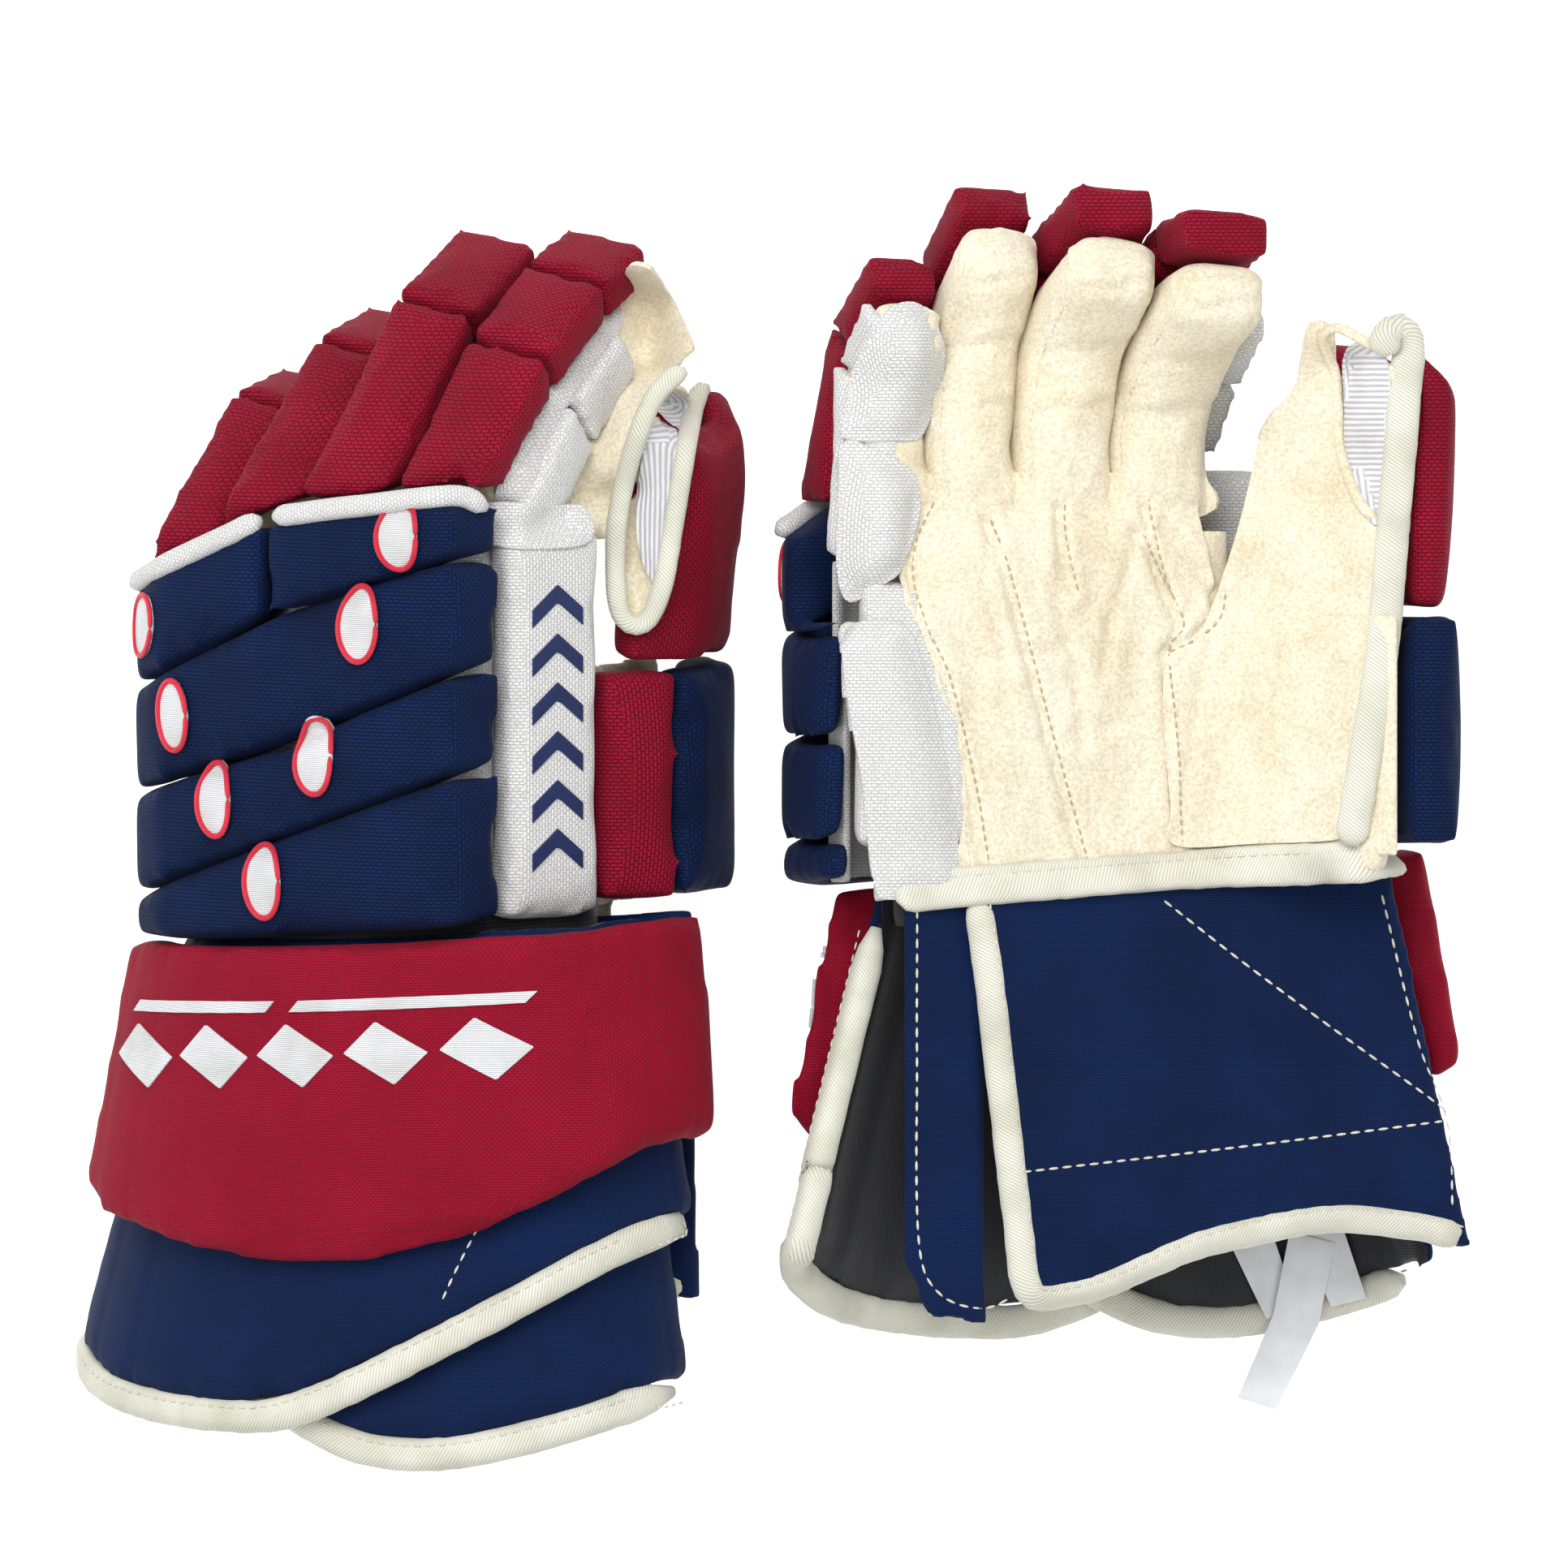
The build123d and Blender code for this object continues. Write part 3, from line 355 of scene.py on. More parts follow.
# %% The white floor
paper, tree, shader, _ = new_material("white_table_top")
set_inputs(shader, Base_Color=linear("#f4f4f4"), Roughness=0.9, Specular_IOR_Level=0.0)
rays = add(tree, "LightPath")
seen = add(tree, "Math", {0: rays.outputs["Is Camera Ray"], 1: rays.outputs["Is Glossy Ray"]},
           operation="MAXIMUM")
seen = add(tree, "Math", {0: seen.outputs["Value"], 1: rays.outputs["Is Transmission Ray"]},
           operation="MAXIMUM")
glow = add(tree, "Emission", {"Color": linear("#ffffff"), "Strength": seen.outputs["Value"]})
half = add(tree, "MixShader", {0: 0.45, 1: shader.outputs["BSDF"], 2: glow.outputs["Emission"]})
sum_shader = add(tree, "AddShader", {0: half.outputs["Shader"], 1: glow.outputs["Emission"]})
keep = add(tree, "Math", {0: seen.outputs["Value"], 1: 0.62}, operation="MULTIPLY")
mixed = add(tree, "MixShader", {0: keep.outputs["Value"], 1: shader.outputs["BSDF"],
                                2: sum_shader.outputs["Shader"]})
tree.links.new(mixed.outputs["Shader"], tree.nodes["Material Output"].inputs["Surface"])
floor.data.materials.append(paper)
print("stage:", floor.name, "camera", camera_data.ortho_scale)

# %% [markdown]
# ## From foam blocks to padded covers
# Every pad is a block of foam in a cloth cover. The measured solid gives its block. A voxel
# remesh turns it into an even skin, a few rounds of smoothing round its edges, and Blender's
# cloth with air pressure lets the cover swell a little between its edges, as a sewn cover does.
# How far a point may move is capped, so each pad stays in the space its block holds.

# %% Copying and remeshing a block
SAME_PLACE = 2e-6   # metres, under which two points are one


def node_bmesh(node):
    """A measured part's mesh, with its loose triangles merged."""
    bm = bmesh.new()
    bm.from_mesh(frame["nodes"][node].data)
    bmesh.ops.remove_doubles(bm, verts=bm.verts, dist=SAME_PLACE)
    return bm


def blocks(bm):
    """The separate blocks of a mesh, each as a mesh of its own."""
    left = set(bm.verts)
    groups = []
    while left:
        front = [left.pop()]
        group = set(front)
        while front:
            for edge in front.pop().link_edges:
                for vert in edge.verts:
                    if vert in left:
                        left.discard(vert)
                        group.add(vert)
                        front.append(vert)
        groups.append({vert.index for vert in group})
    made = []
    for group in sorted(groups, key=min):
        block = bm.copy()
        block.verts.ensure_lookup_table()
        others = [vert for vert in block.verts if vert.index not in group]
        bmesh.ops.delete(block, geom=others, context="VERTS")
        made.append(block)
    bm.free()
    return made


def baked(obj):
    """Applies all modifiers on an object to its mesh."""
    graph = bpy.context.evaluated_depsgraph_get()
    mesh = bpy.data.meshes.new_from_object(obj.evaluated_get(graph))
    obj.modifiers.clear()
    obj.data = mesh
    return obj


def joined(objects, name):
    """Several objects as one, with their meshes kept as they are."""
    bm = bmesh.new()
    for obj in objects:
        bm.from_mesh(obj.data)
        bpy.data.objects.remove(obj)
    return to_object(bm, name)


def read(items, name, kind=float, width=1):
    """One property of all of a mesh's points, faces or loops, as an array."""
    flat = np.empty(len(items) * width, kind)
    items.foreach_get(name, flat)
    return flat.reshape(-1, width) if width > 1 else flat


def coordinates(mesh):
    return read(mesh.vertices, "co", width=3)


def moved_to(obj, points):
    obj.data.vertices.foreach_set("co", points.ravel())
    obj.data.update()
    return obj


def skinned(bm, name, voxel, rounds, drawn_in):
    """A block as an even skin with rounded edges, drawn in by some millimetres."""
    obj = to_object(bm, name)
    skin = obj.modifiers.new("skin", "REMESH")
    skin.mode = "VOXEL"
    skin.voxel_size = voxel * MM
    baked(obj)
    bm = bmesh.new()
    bm.from_mesh(obj.data)
    for _ in range(rounds):
        bmesh.ops.smooth_vert(bm, verts=bm.verts, factor=0.5, use_axis_x=True,
                              use_axis_y=True, use_axis_z=True)
    bm.to_mesh(obj.data)
    bm.free()
    return moved_to(obj, coordinates(obj.data)
                    - read(obj.data.vertices, "normal", width=3) * drawn_in * MM)

# %% [markdown]
# The list below is the cutting list: for each part, its cloth, how fine its skin is, how many
# rounds of smoothing its edges get, how far the smoothed skin is drawn in, and how far the cover
# may swell. Thin parts need a finer skin than thick ones.

# %% The cutting list
COVERS = {}
for names, *cut in (
        ("backhand_roll_1 backhand_roll_2 backhand_roll_3 backhand_roll_4",
         NAVY_MESH, 2.6, 5, 0.5, 2.0),
        ("index_side_roll", WHITE_MESH, 2.4, 4, 0.3, 1.2),
        ("pinky_side_roll", WHITE_MESH, 2.4, 4, 0.3, 1.5),
        ("thumb_base_roll", RED_MESH, 2.6, 5, 0.4, 2.0),
        ("thumb_outer_roll", NAVY_MESH, 2.6, 5, 0.4, 2.0),
        ("thumb_pad", RED_MESH, 2.6, 6, 0.3, 1.8),
        ("index_pads middle_pads ring_pads pinky_pads", RED_MESH, 2.2, 5, 0.5, 1.8),
        ("index_side_pads pinky_side_pads", WHITE_MESH, 2.0, 4, 0.4, 1.6),
        ("cuff_roll", CUFF_RED, 3.0, 7, 0.3, 2.0),
        ("cuff_back_flap cuff_side_flap", CUFF_NAVY, 2.4, 5, 0.2, 1.0),
        ("palm_flap", CUFF_NAVY, 1.5, 3, 0.1, 0.8),
        ("backhand_liner", WHITE_MESH, 1.8, 2, 0.1, 0.0),
        ("index_sleeve middle_sleeve ring_sleeve pinky_sleeve", SUEDE, 2.2, 7, 0.6, 1.2),
        ("thumb_sleeve", SUEDE, 2.2, 6, 0.6, 1.0),
        ("palm", SUEDE, 1.4, 3, 0.0, 0.0)):
    for part in names.split():
        COVERS[part] = cut

# %% [markdown]
# A finger stall is measured as a hollow box. Its cover starts as a closed block of the same
# outline: the stall's flat side is taken off, joined into one face and pulled across the finger's
# width, and its edges are bevelled, because a stall is nearly round under the finger. The
# thumb's stall is closed by its convex hull.

# %% Closed blocks for the stalls
STALLS = ("index", "middle", "ring", "pinky")
STALL_EDGE = 6.0   # how far the bevel takes off a stall's edges


def stall_block(side, finger):
    """A finger's stall as a closed block with bevelled edges."""
    across = Vector(joints[f"{side}_{finger}_knuckle"]["axis"])
    bm = node_bmesh(f"{side}_{finger}_sleeve")
    reach = {sign: max(sign * vert.co.dot(across) for vert in bm.verts) for sign in (1, -1)}
    width = reach[1] + reach[-1]

    def flank(sign):
        """The faces that look along the axis and lie at its far end."""
        return [face for face in bm.faces if face.normal.dot(across) * sign > 0.999
                and abs(face.calc_center_median().dot(across) * sign - reach[sign]) < 1e-4]

    sign = max((1, -1), key=lambda s: sum(face.calc_area() for face in flank(s)))
    keep = set(flank(sign))
    bmesh.ops.delete(bm, geom=[face for face in bm.faces if face not in keep], context="FACES")
    bmesh.ops.dissolve_faces(bm, faces=bm.faces[:])
    bmesh.ops.dissolve_limit(bm, angle_limit=0.02, verts=bm.verts, edges=bm.edges)
    flat = bm.faces[:]
    out = bmesh.ops.extrude_face_region(bm, geom=flat, use_keep_orig=True)["geom"]
    moved = [part for part in out if isinstance(part, bmesh.types.BMVert)]
    bmesh.ops.translate(bm, verts=moved, vec=-across * sign * width)
    bmesh.ops.recalc_face_normals(bm, faces=bm.faces)
    bmesh.ops.bevel(bm, geom=bm.edges[:], affect="EDGES", offset=STALL_EDGE * MM, segments=3,
                    profile=0.5, material=-1, clamp_overlap=True)
    return bm


def thumb_stall_block(side):
    """The thumb's stall as a closed block."""
    bm = node_bmesh(f"{side}_thumb_sleeve")
    out = bmesh.ops.convex_hull(bm, input=bm.verts)
    spare = [part for part in out["geom_interior"] + out["geom_unused"]
             if isinstance(part, bmesh.types.BMVert)]
    bmesh.ops.delete(bm, geom=spare, context="VERTS")
    hull = {part for part in out["geom"] if isinstance(part, bmesh.types.BMFace)}
    inner = [face for face in bm.faces if face not in hull]
    bmesh.ops.delete(bm, geom=inner, context="FACES_ONLY")
    return bm

# %% Making every cover
covers = {}
for side in SIDES:
    for part, (_, voxel, rounds, drawn_in, _) in COVERS.items():
        node = f"{side}_{part}"
        finger = part.removesuffix("_sleeve")
        if finger in STALLS:
            pieces = [stall_block(side, finger)]
        elif part == "thumb_sleeve":
            pieces = [thumb_stall_block(side)]
        else:
            pieces = blocks(node_bmesh(node))
        skins = [skinned(piece, "block", voxel, rounds, drawn_in) for piece in pieces]
        covers[node] = joined(skins, node + "_cover")
print("covers:", len(covers), "points:", sum(len(c.data.vertices) for c in covers.values()))

# %% [markdown]
# The cuff's measured layers have flat sides, twelve around. The real ones are smooth, so every
# point is moved out from the cuff's axis by what a flat side lacks of a true arc there. The
# cuff's section is an ellipse that grows from wrist to hem.

# %% Rounding the cuffs
CUFFS = {   # radii and centre in section at the wrist and at the hem
    "left": ((85.0, 62.0), (14.5, -12.0), (107.0, 68.0), (6.0, -12.0)),
    "right": ((90.0, 52.0), (35.0, -8.0), (117.0, 56.0), (33.0, -8.0)),
}
CUFF_LENGTH = 150.0
CUFF_START = 180.0
CUFF_END = -12.0
FLAT_SIDE = 16.0   # degrees that one flat side spans


def cuff_section(side, v):
    """The outer ellipse's radii and centre at v, as arrays or numbers."""
    wrist_radii, wrist_centre, hem_radii, hem_centre = CUFFS[side]
    share = -v / CUFF_LENGTH
    return [a + (b - a) * share for a, b in zip(wrist_radii + wrist_centre,
                                                hem_radii + hem_centre)]


def inverse_array(side):
    """The way back from the row frame to a glove's own, for numpy."""
    return np.array(FRAMES[side].inverted())


def local_points(obj, side):
    inverse = inverse_array(side)
    return coordinates(obj.data) @ inverse[:3, :3].T + inverse[:3, 3]


def rounded_cuff(obj, side):
    points = local_points(obj, side)
    radius_u, radius_w, centre_u, centre_w = cuff_section(side, points[:, 1])
    du, dw = points[:, 0] - centre_u, points[:, 2] - centre_w
    angle = np.degrees(np.arctan2(dw / radius_w, du / radius_u))
    inside = (angle > CUFF_END) & (angle < CUFF_START)
    off_middle = np.mod(CUFF_START - angle, FLAT_SIDE) - FLAT_SIDE / 2
    grow = np.cos(np.radians(off_middle)) / math.cos(math.radians(FLAT_SIDE / 2))
    grow = np.where(inside, grow, 1.0)
    points[:, 0] = centre_u + du * grow
    points[:, 2] = centre_w + dw * grow
    matrix = np.array(FRAMES[side])
    return moved_to(obj, points @ matrix[:3, :3].T + matrix[:3, 3])


for side in SIDES:
    for part in ("cuff_roll", "cuff_back_flap", "cuff_side_flap"):
        rounded_cuff(covers[f"{side}_{part}"], side)
print("rounded:", CUFFS.keys())

# %% [markdown]
# All covers swell in one run of the clock: each has its own cloth modifier, gravity is off, and
# after 20 steps every point's travel is capped.

# %% Air pressure
PRESSURE = 12.0
STEPS = 20


def add_cloth(obj):
    cloth = obj.modifiers.new("cloth", "CLOTH")
    settings = cloth.settings
    settings.use_pressure = True
    settings.uniform_pressure_force = PRESSURE
    settings.effector_weights.gravity = 0.0
    settings.quality = 4
    cloth.point_cache.frame_start = 1
    cloth.point_cache.frame_end = STEPS


def capped(obj, cap):
    """The cloth's result, with each point's travel held under the cap in millimetres."""
    graph = bpy.context.evaluated_depsgraph_get()
    before = coordinates(obj.data)
    travel = coordinates(obj.evaluated_get(graph).data) - before
    length = np.linalg.norm(travel, axis=1, keepdims=True)
    return before + travel * np.minimum(1.0, cap * MM / np.maximum(length, 1e-9))


swelling = {node: COVERS[node.split("_", 1)[1]][-1] for node in covers}
swelling = {node: cap for node, cap in swelling.items() if cap}
for node in swelling:
    add_cloth(covers[node])
for step in range(1, STEPS + 1):
    scene.frame_set(step)
shapes = {node: capped(covers[node], cap) for node, cap in swelling.items()}
for node, shape in shapes.items():
    covers[node].modifiers.clear()
    moved_to(covers[node], shape)
scene.frame_set(1)
print("swollen:", len(shapes), "largest travel", max(swelling.values()), "mm")

# %% [markdown]
# A subdivision makes the skins smooth. Then every cover gets a UV map in millimetres: each face
# is laid flat from whichever of the glove's three directions it faces most, so the knit's rows
# keep one size on every face and follow the glove.

# %% UV maps in millimetres
AXES = {0: (1, 2), 1: (0, 2), 2: (0, 1)}


def box_uv(obj, side):
    """Lays each face flat from the glove's own direction that it faces most."""
    mesh = obj.data
    points = local_points(obj, side)
    loops = read(mesh.loops, "vertex_index", int)
    normals = read(mesh.polygons, "normal", width=3) @ inverse_array(side)[:3, :3].T
    facing = np.repeat(np.abs(normals).argmax(axis=1), read(mesh.polygons, "loop_total", int))
    flat = np.empty((len(loops), 2))
    for axis, (a, b) in AXES.items():
        chosen = facing == axis
        flat[chosen] = points[loops[chosen]][:, (a, b)]
    layer = mesh.uv_layers.new(name="cloth")
    layer.data.foreach_set("uv", flat.ravel())


def subdivided(obj):
    smooth = obj.modifiers.new("smooth", "SUBSURF")
    smooth.levels = smooth.render_levels = 1
    return baked(obj)


def side_of(name):
    """The glove that a piece or a body belongs to."""
    return name.split("_")[0]


def dressed(obj, cloth, body):
    """Gives a finished piece its cloth, UV map, body and slot."""
    if not obj.data.uv_layers:
        box_uv(obj, side_of(obj.name))
    obj.data.materials.clear()
    obj.data.materials.append(cloth)
    obj.data.polygons.foreach_set("use_smooth", [True] * len(obj.data.polygons))
    if body:
        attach(obj, body)
    return obj

# %% Finishing every cover
for node, cover in covers.items():
    part = node.split("_", 1)[1]
    if part not in ("palm", "palm_flap", "backhand_liner"):   # fine enough already
        subdivided(cover)
    dressed(cover, COVERS[part][0], frame["nodes"][node]["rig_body"])
    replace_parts(cover, node)
print("covers done:", sum(len(c.data.polygons) for c in covers.values()), "faces")

# %% [markdown]
# ## Bindings
# The cloths' raw edges are bound in folded tape. Each binding is a rounded bar that follows an
# edge: rings of points, set square to the line and bridged one to the next. A line is given by a
# few points in the glove's frame and rounded by a Catmull-Rom curve.

# %% Smooth lines and rounded bars


def catmull_rom(p0, p1, p2, p3, t):
    """The place a share t of the way from p1 to p2 on the curve."""
    return 0.5 * (2 * p1 + (p2 - p0) * t + (2 * p0 - 5 * p1 + 4 * p2 - p3) * t * t
                  + (3 * p1 - p0 - 3 * p2 + p3) * t ** 3)


def smooth_line(points, spacing):
    """Even points along a curve through the given ones."""
    points = [Vector(p) for p in points]
    ends = [2 * points[0] - points[1], *points, 2 * points[-1] - points[-2]]
    fine = [catmull_rom(*four, i / 12) for four in zip(ends, ends[1:], ends[2:], ends[3:])
            for i in range(12)]
    return evenly(fine + [points[-1]], spacing)


def evenly(line, spacing):
    """The same line with points an even step apart."""
    steps = [0.0]
    for a, b in zip(line, line[1:]):
        steps.append(steps[-1] + (b - a).length)
    count = max(2, round(steps[-1] / spacing))
    out, j = [], 0
    for i in range(count + 1):
        at = steps[-1] * i / count
        while j < len(steps) - 2 and steps[j + 1] < at:
            j += 1
        share = (at - steps[j]) / max(steps[j + 1] - steps[j], 1e-12)
        out.append(line[j].lerp(line[j + 1], min(share, 1.0)))
    return out


def bar(name, line, normals, width, thickness, power=3.0, segments=14, ripple=0.0):
    """A rounded bar along a line in metres; its width lies square to the normals."""
    bm = bmesh.new()
    uv = bm.loops.layers.uv.new("cloth")
    rings, along = [], 0.0
    girth = 2 * (width + thickness)
    reach = [0.35, 0.85] + [1.0] * (len(line) - 4) + [0.85, 0.35]   # rounds the ends
    where = {}
    for i, point in enumerate(line):
        ahead = line[min(i + 1, len(line) - 1)] - line[max(i - 1, 0)]
        ahead.normalize()
        normal = (normals[i] - ahead * normals[i].dot(ahead)).normalized()
        across = ahead.cross(normal)
        along += (point - line[i - 1]).length / MM if i else 0.0
        swell = 1.0 + ripple * noise.noise(Vector((along / 3.5, width, 7.0)))
        lay = Matrix((across, normal, ahead)).transposed().to_4x4()
        lay.translation = point
        ring = bmesh.ops.create_circle(bm, segments=segments, radius=1.0, matrix=lay)["verts"]
        for k, vert in enumerate(ring):
            turn = 2 * math.pi * k / segments
            c, s = math.cos(turn), math.sin(turn)
            size = (abs(c) ** power + abs(s) ** power) ** (-1 / power) * reach[i] * swell
            vert.co = point + (across * c * width / 2 + normal * s * thickness / 2) * size * MM
            where[vert] = (turn / (2 * math.pi) * girth, along)
        rings.append(ring)
    for ring, following in zip(rings, rings[1:]):
        edges = {edge for vert in ring for edge in vert.link_edges
                 if edge.other_vert(vert) in ring}
        edges |= {edge for vert in following for edge in vert.link_edges
                  if edge.other_vert(vert) in following}
        bmesh.ops.bridge_loops(bm, edges=list(edges))
    for ring in (rings[0], rings[-1]):
        bmesh.ops.contextual_create(bm, geom=ring)
    bmesh.ops.recalc_face_normals(bm, faces=bm.faces)
    for face in bm.faces:
        spots = [where[loop.vert] for loop in face.loops]
        wraps = max(x for x, _ in spots) - min(x for x, _ in spots) > girth / 2
        for loop, (x, y) in zip(face.loops, spots):
            loop[uv].uv = (x + girth if wraps and x < girth / 2 else x, y)
    return to_object(bm, name)

# %% [markdown]
# The cuff's hems run on its curved layers. A hem line is given in plan, and its height comes
# from the cuff's own ellipse at that place, so the tape wraps the edge exactly. At the
# little-finger side the back flap's tape turns the corner and runs up its free edge.

# %% Cuff hems
HEM_SHIFT = {"left": (0.0, 0.0), "right": (27.0, 10.0)}
SIDE_HEM_SHIFT = {"left": (0.0, 0.0), "right": (38.0, 20.0)}
BACK_HEM = [(-104, -108), (-96, -124), (-86, -137), (-64, -147), (-25, -151), (5, -147),
            (56, -121), (92, -98), (140, -70)]
SIDE_HEM = [(-22, -139), (2, -153), (22, -160), (46, -160), (76, -152), (100, -140),
            (112, -126), (150, -96)]
FLAP_DEPTH = 3.5          # half the flap's thickness
BACK_FLAP_INSET = (16.3, 6.0)     # how deep it lies under the outer face, at wrist and hem
SIDE_FLAP_INSET = (25.2, 14.9)
TAPE_WIDTH = 9.6
TAPE_IN = 6.2             # from the cut edge to the middle of the tape
TAPE_THICKNESS = 8.4
ROW_IN, ROW_OUT = 0.3, 0.47       # where the tape's stitches lie, as shares of its size
BACK_HEM_END, SIDE_HEM_END = 0.93, 0.88   # where the hems end, as shares of the cuff's radius
HEM_STEP = 2.5


def inset_at(inset, v):
    """How deep a flap lies at v, from its insets at the wrist and at the hem."""
    return inset[0] + (inset[1] - inset[0]) * -v / CUFF_LENGTH


def on_cuff(side, u, v, inset):
    """The point at plan place (u, v) inside the cuff's outer face, and the way out there."""
    radius_u, radius_w, centre_u, centre_w = cuff_section(side, v)
    depth = inset_at(inset, v)
    radius_u, radius_w = radius_u - depth, radius_w - depth
    x = max(-1.0, min(1.0, (u - centre_u) / radius_u))
    height = math.sqrt(1 - x * x)
    place = Vector((centre_u + radius_u * x, v, centre_w + radius_w * height))
    return place, Vector((x / radius_u, 0.0, max(height, 0.02) / radius_w)).normalized()


def hem_bar(name, hem, inset, last_u, corner=()):
    """A taped hem up to the u where it ends; corner adds points up a free edge."""
    side = side_of(name)
    matrix = FRAMES[side]
    depths = tuple(x + FLAP_DEPTH for x in inset)
    plan = [Vector((u, v, 0.0)) for u, v in hem]
    found = [on_cuff(side, point.x, point.y, depths) for point in smooth_line(plan, HEM_STEP)
             if point.x <= last_u]
    places = [matrix @ Vector(p) for p in corner] + [matrix @ place for place, _ in found]
    ways = [found[0][1]] * len(corner) + [way for _, way in found]
    ways = [(matrix.to_3x3() @ way).normalized() for way in ways]
    centre = sum(places, Vector()) / len(places) + matrix.to_3x3() @ Vector((0, 60 * MM, 0))
    row = []
    for i, (place, way) in enumerate(zip(places, ways)):
        ahead = places[min(i + 1, len(places) - 1)] - places[max(i - 1, 0)]
        across = ahead.cross(way).normalized()
        across *= 1 if across.dot(centre - place) > 0 else -1
        row.append(place + across * TAPE_WIDTH * ROW_IN * MM + way * TAPE_THICKNESS * ROW_OUT * MM)
    hem_rows.append((side, row, ways))
    tape = bar(name, places, ways, TAPE_WIDTH, TAPE_THICKNESS, ripple=0.06)
    return dressed(tape, TWILL, f"{side}_cuff")


cuff_tapes, hem_rows = {}, []
for side in SIDES:
    edge = []   # the back flap's free edge
    for v in range(-22, -100, -6):
        radius_u, _, centre_u, centre_w = cuff_section(side, v)
        depth = inset_at(BACK_FLAP_INSET, v)
        edge.append((centre_u - radius_u + depth + FLAP_DEPTH, v, centre_w + 2.0))
    if side == "left":
        edge = edge[:-1]
    radius_u, _, centre_u, _ = cuff_section(side, -60)
    (du, dv), (su, sv) = HEM_SHIFT[side], SIDE_HEM_SHIFT[side]
    cuff_tapes[side] = (
        hem_bar(f"{side}_back_flap_tape", [(u + du, v + dv + TAPE_IN) for u, v in BACK_HEM],
                BACK_FLAP_INSET, centre_u + radius_u * BACK_HEM_END, corner=edge),
        hem_bar(f"{side}_side_flap_tape", [(u + su, v + sv + TAPE_IN) for u, v in SIDE_HEM],
                SIDE_FLAP_INSET, centre_u + radius_u * SIDE_HEM_END))
    for tape in cuff_tapes[side]:
        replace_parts(tape, f"{side}_cuff_binding")
print("hems:", [t.name for pair in cuff_tapes.values() for t in pair])

# %% [markdown]
# ## Finding the surface
# Panels, patches and stitches lie on what is already made. A ray is sent in along the matrix's
# third axis, which on a glove is w, from the back (+1) or from the palm (-1). The nearest hit
# gives the place and the way the surface faces.

# %% Rays onto the pieces
FAR_OUT = 0.4   # metres, where a ray starts


def heading(matrix, *way):
    """A direction given in the matrix's own axes."""
    return (matrix.to_3x3() @ Vector(way)).normalized()


def surface(*objects):
    """Ray trees of the objects as they are now."""
    trees = []
    for obj in objects:
        bm = bmesh.new()
        bm.from_mesh(obj.data)
        trees.append(BVHTree.FromBMesh(bm))
        bm.free()
    return trees


def hit(trees, matrix, u, v, sign):
    """The nearest place under (u, v), seen from the sign side, and its way out, or None."""
    way = heading(matrix, 0, 0, sign)
    start = matrix @ Vector((u, v, 0.0)) + way * FAR_OUT
    found = [tree.ray_cast(start, -way) for tree in trees]
    found = [(h[3], h[0], h[1]) for h in found if h[0] is not None]
    if not found:
        return None
    _, place, normal = min(found, key=lambda h: h[0])
    return place, (normal if normal.dot(way) > 0 else -normal)


def gaps_filled(values):
    """The list with every None replaced by the nearest value that isn't."""
    known = [k for k, value in enumerate(values) if value is not None]
    return [values[min(known, key=lambda k: abs(k - i))] for i in range(len(values))]


def laid(line, trees, matrix, sign, lift=0.0, spacing=1.0):
    """A smooth plan line laid on the surface: its places and the ways out, evenly smoothed.
    Where a ray misses, the nearest height is taken."""
    plan = smooth_line([(u, v, 0.0) for u, v in line], spacing)
    inverse = matrix.inverted()
    found = gaps_filled([hit(trees, matrix, p.x, p.y, sign) for p in plan])
    heights = [(inverse @ place).z for place, _ in found]
    ways = [way for _, way in found]
    out, smooth_ways = [], []
    for i, p in enumerate(plan):
        near = range(max(0, i - 3), min(len(plan), i + 4))
        height = sum(heights[k] for k in near) / len(near)
        way = sum((ways[k] for k in near), Vector()).normalized()
        out.append(matrix @ Vector((p.x, p.y, height)) + way * lift * MM)
        smooth_ways.append(way)
    return out, smooth_ways

# %% [markdown]
# ## Flat pieces cut to an outline
# A panel starts as an even grid. Points outside the outline are pulled onto it or dropped. Each
# point takes its height from the surface below, smoothed so that it runs softly over steps, and
# a relief function adds folds, seams and puffed parts. Last the panel gets its thickness.

# %% Panels


def closed(outline):
    """The outline's corners as vectors, with the first one again at the end."""
    return [Vector(p) for p in outline] + [Vector(outline[0])]


def nearest_on(line, point):
    """The place on a line of points that is nearest to a point."""
    spots = []
    for a, b in zip(line, line[1:]):
        run = b - a
        share = max(0.0, min(1.0, (point - a).dot(run) / max(run.length_squared, 1e-9)))
        spots.append(a + run * share)
    return min(spots, key=lambda spot: (spot - point).length)


def distance_to(line, u, v):
    point = Vector((u, v))
    return (nearest_on([Vector(p) for p in line], point) - point).length


def bell(x, width):
    """A smooth bump of height one: 1 at 0, and nearly 0 beyond twice its width."""
    return math.exp(-(x / width) ** 2)


def within(outline, point):
    """Whether a point lies inside an outline."""
    inside = False
    for a, b in zip(outline, outline[1:] + outline[:1]):
        if (a.y > point.y) != (b.y > point.y):
            if point.x < (b.x - a.x) * (point.y - a.y) / (b.y - a.y) + a.x:
                inside = not inside
    return inside


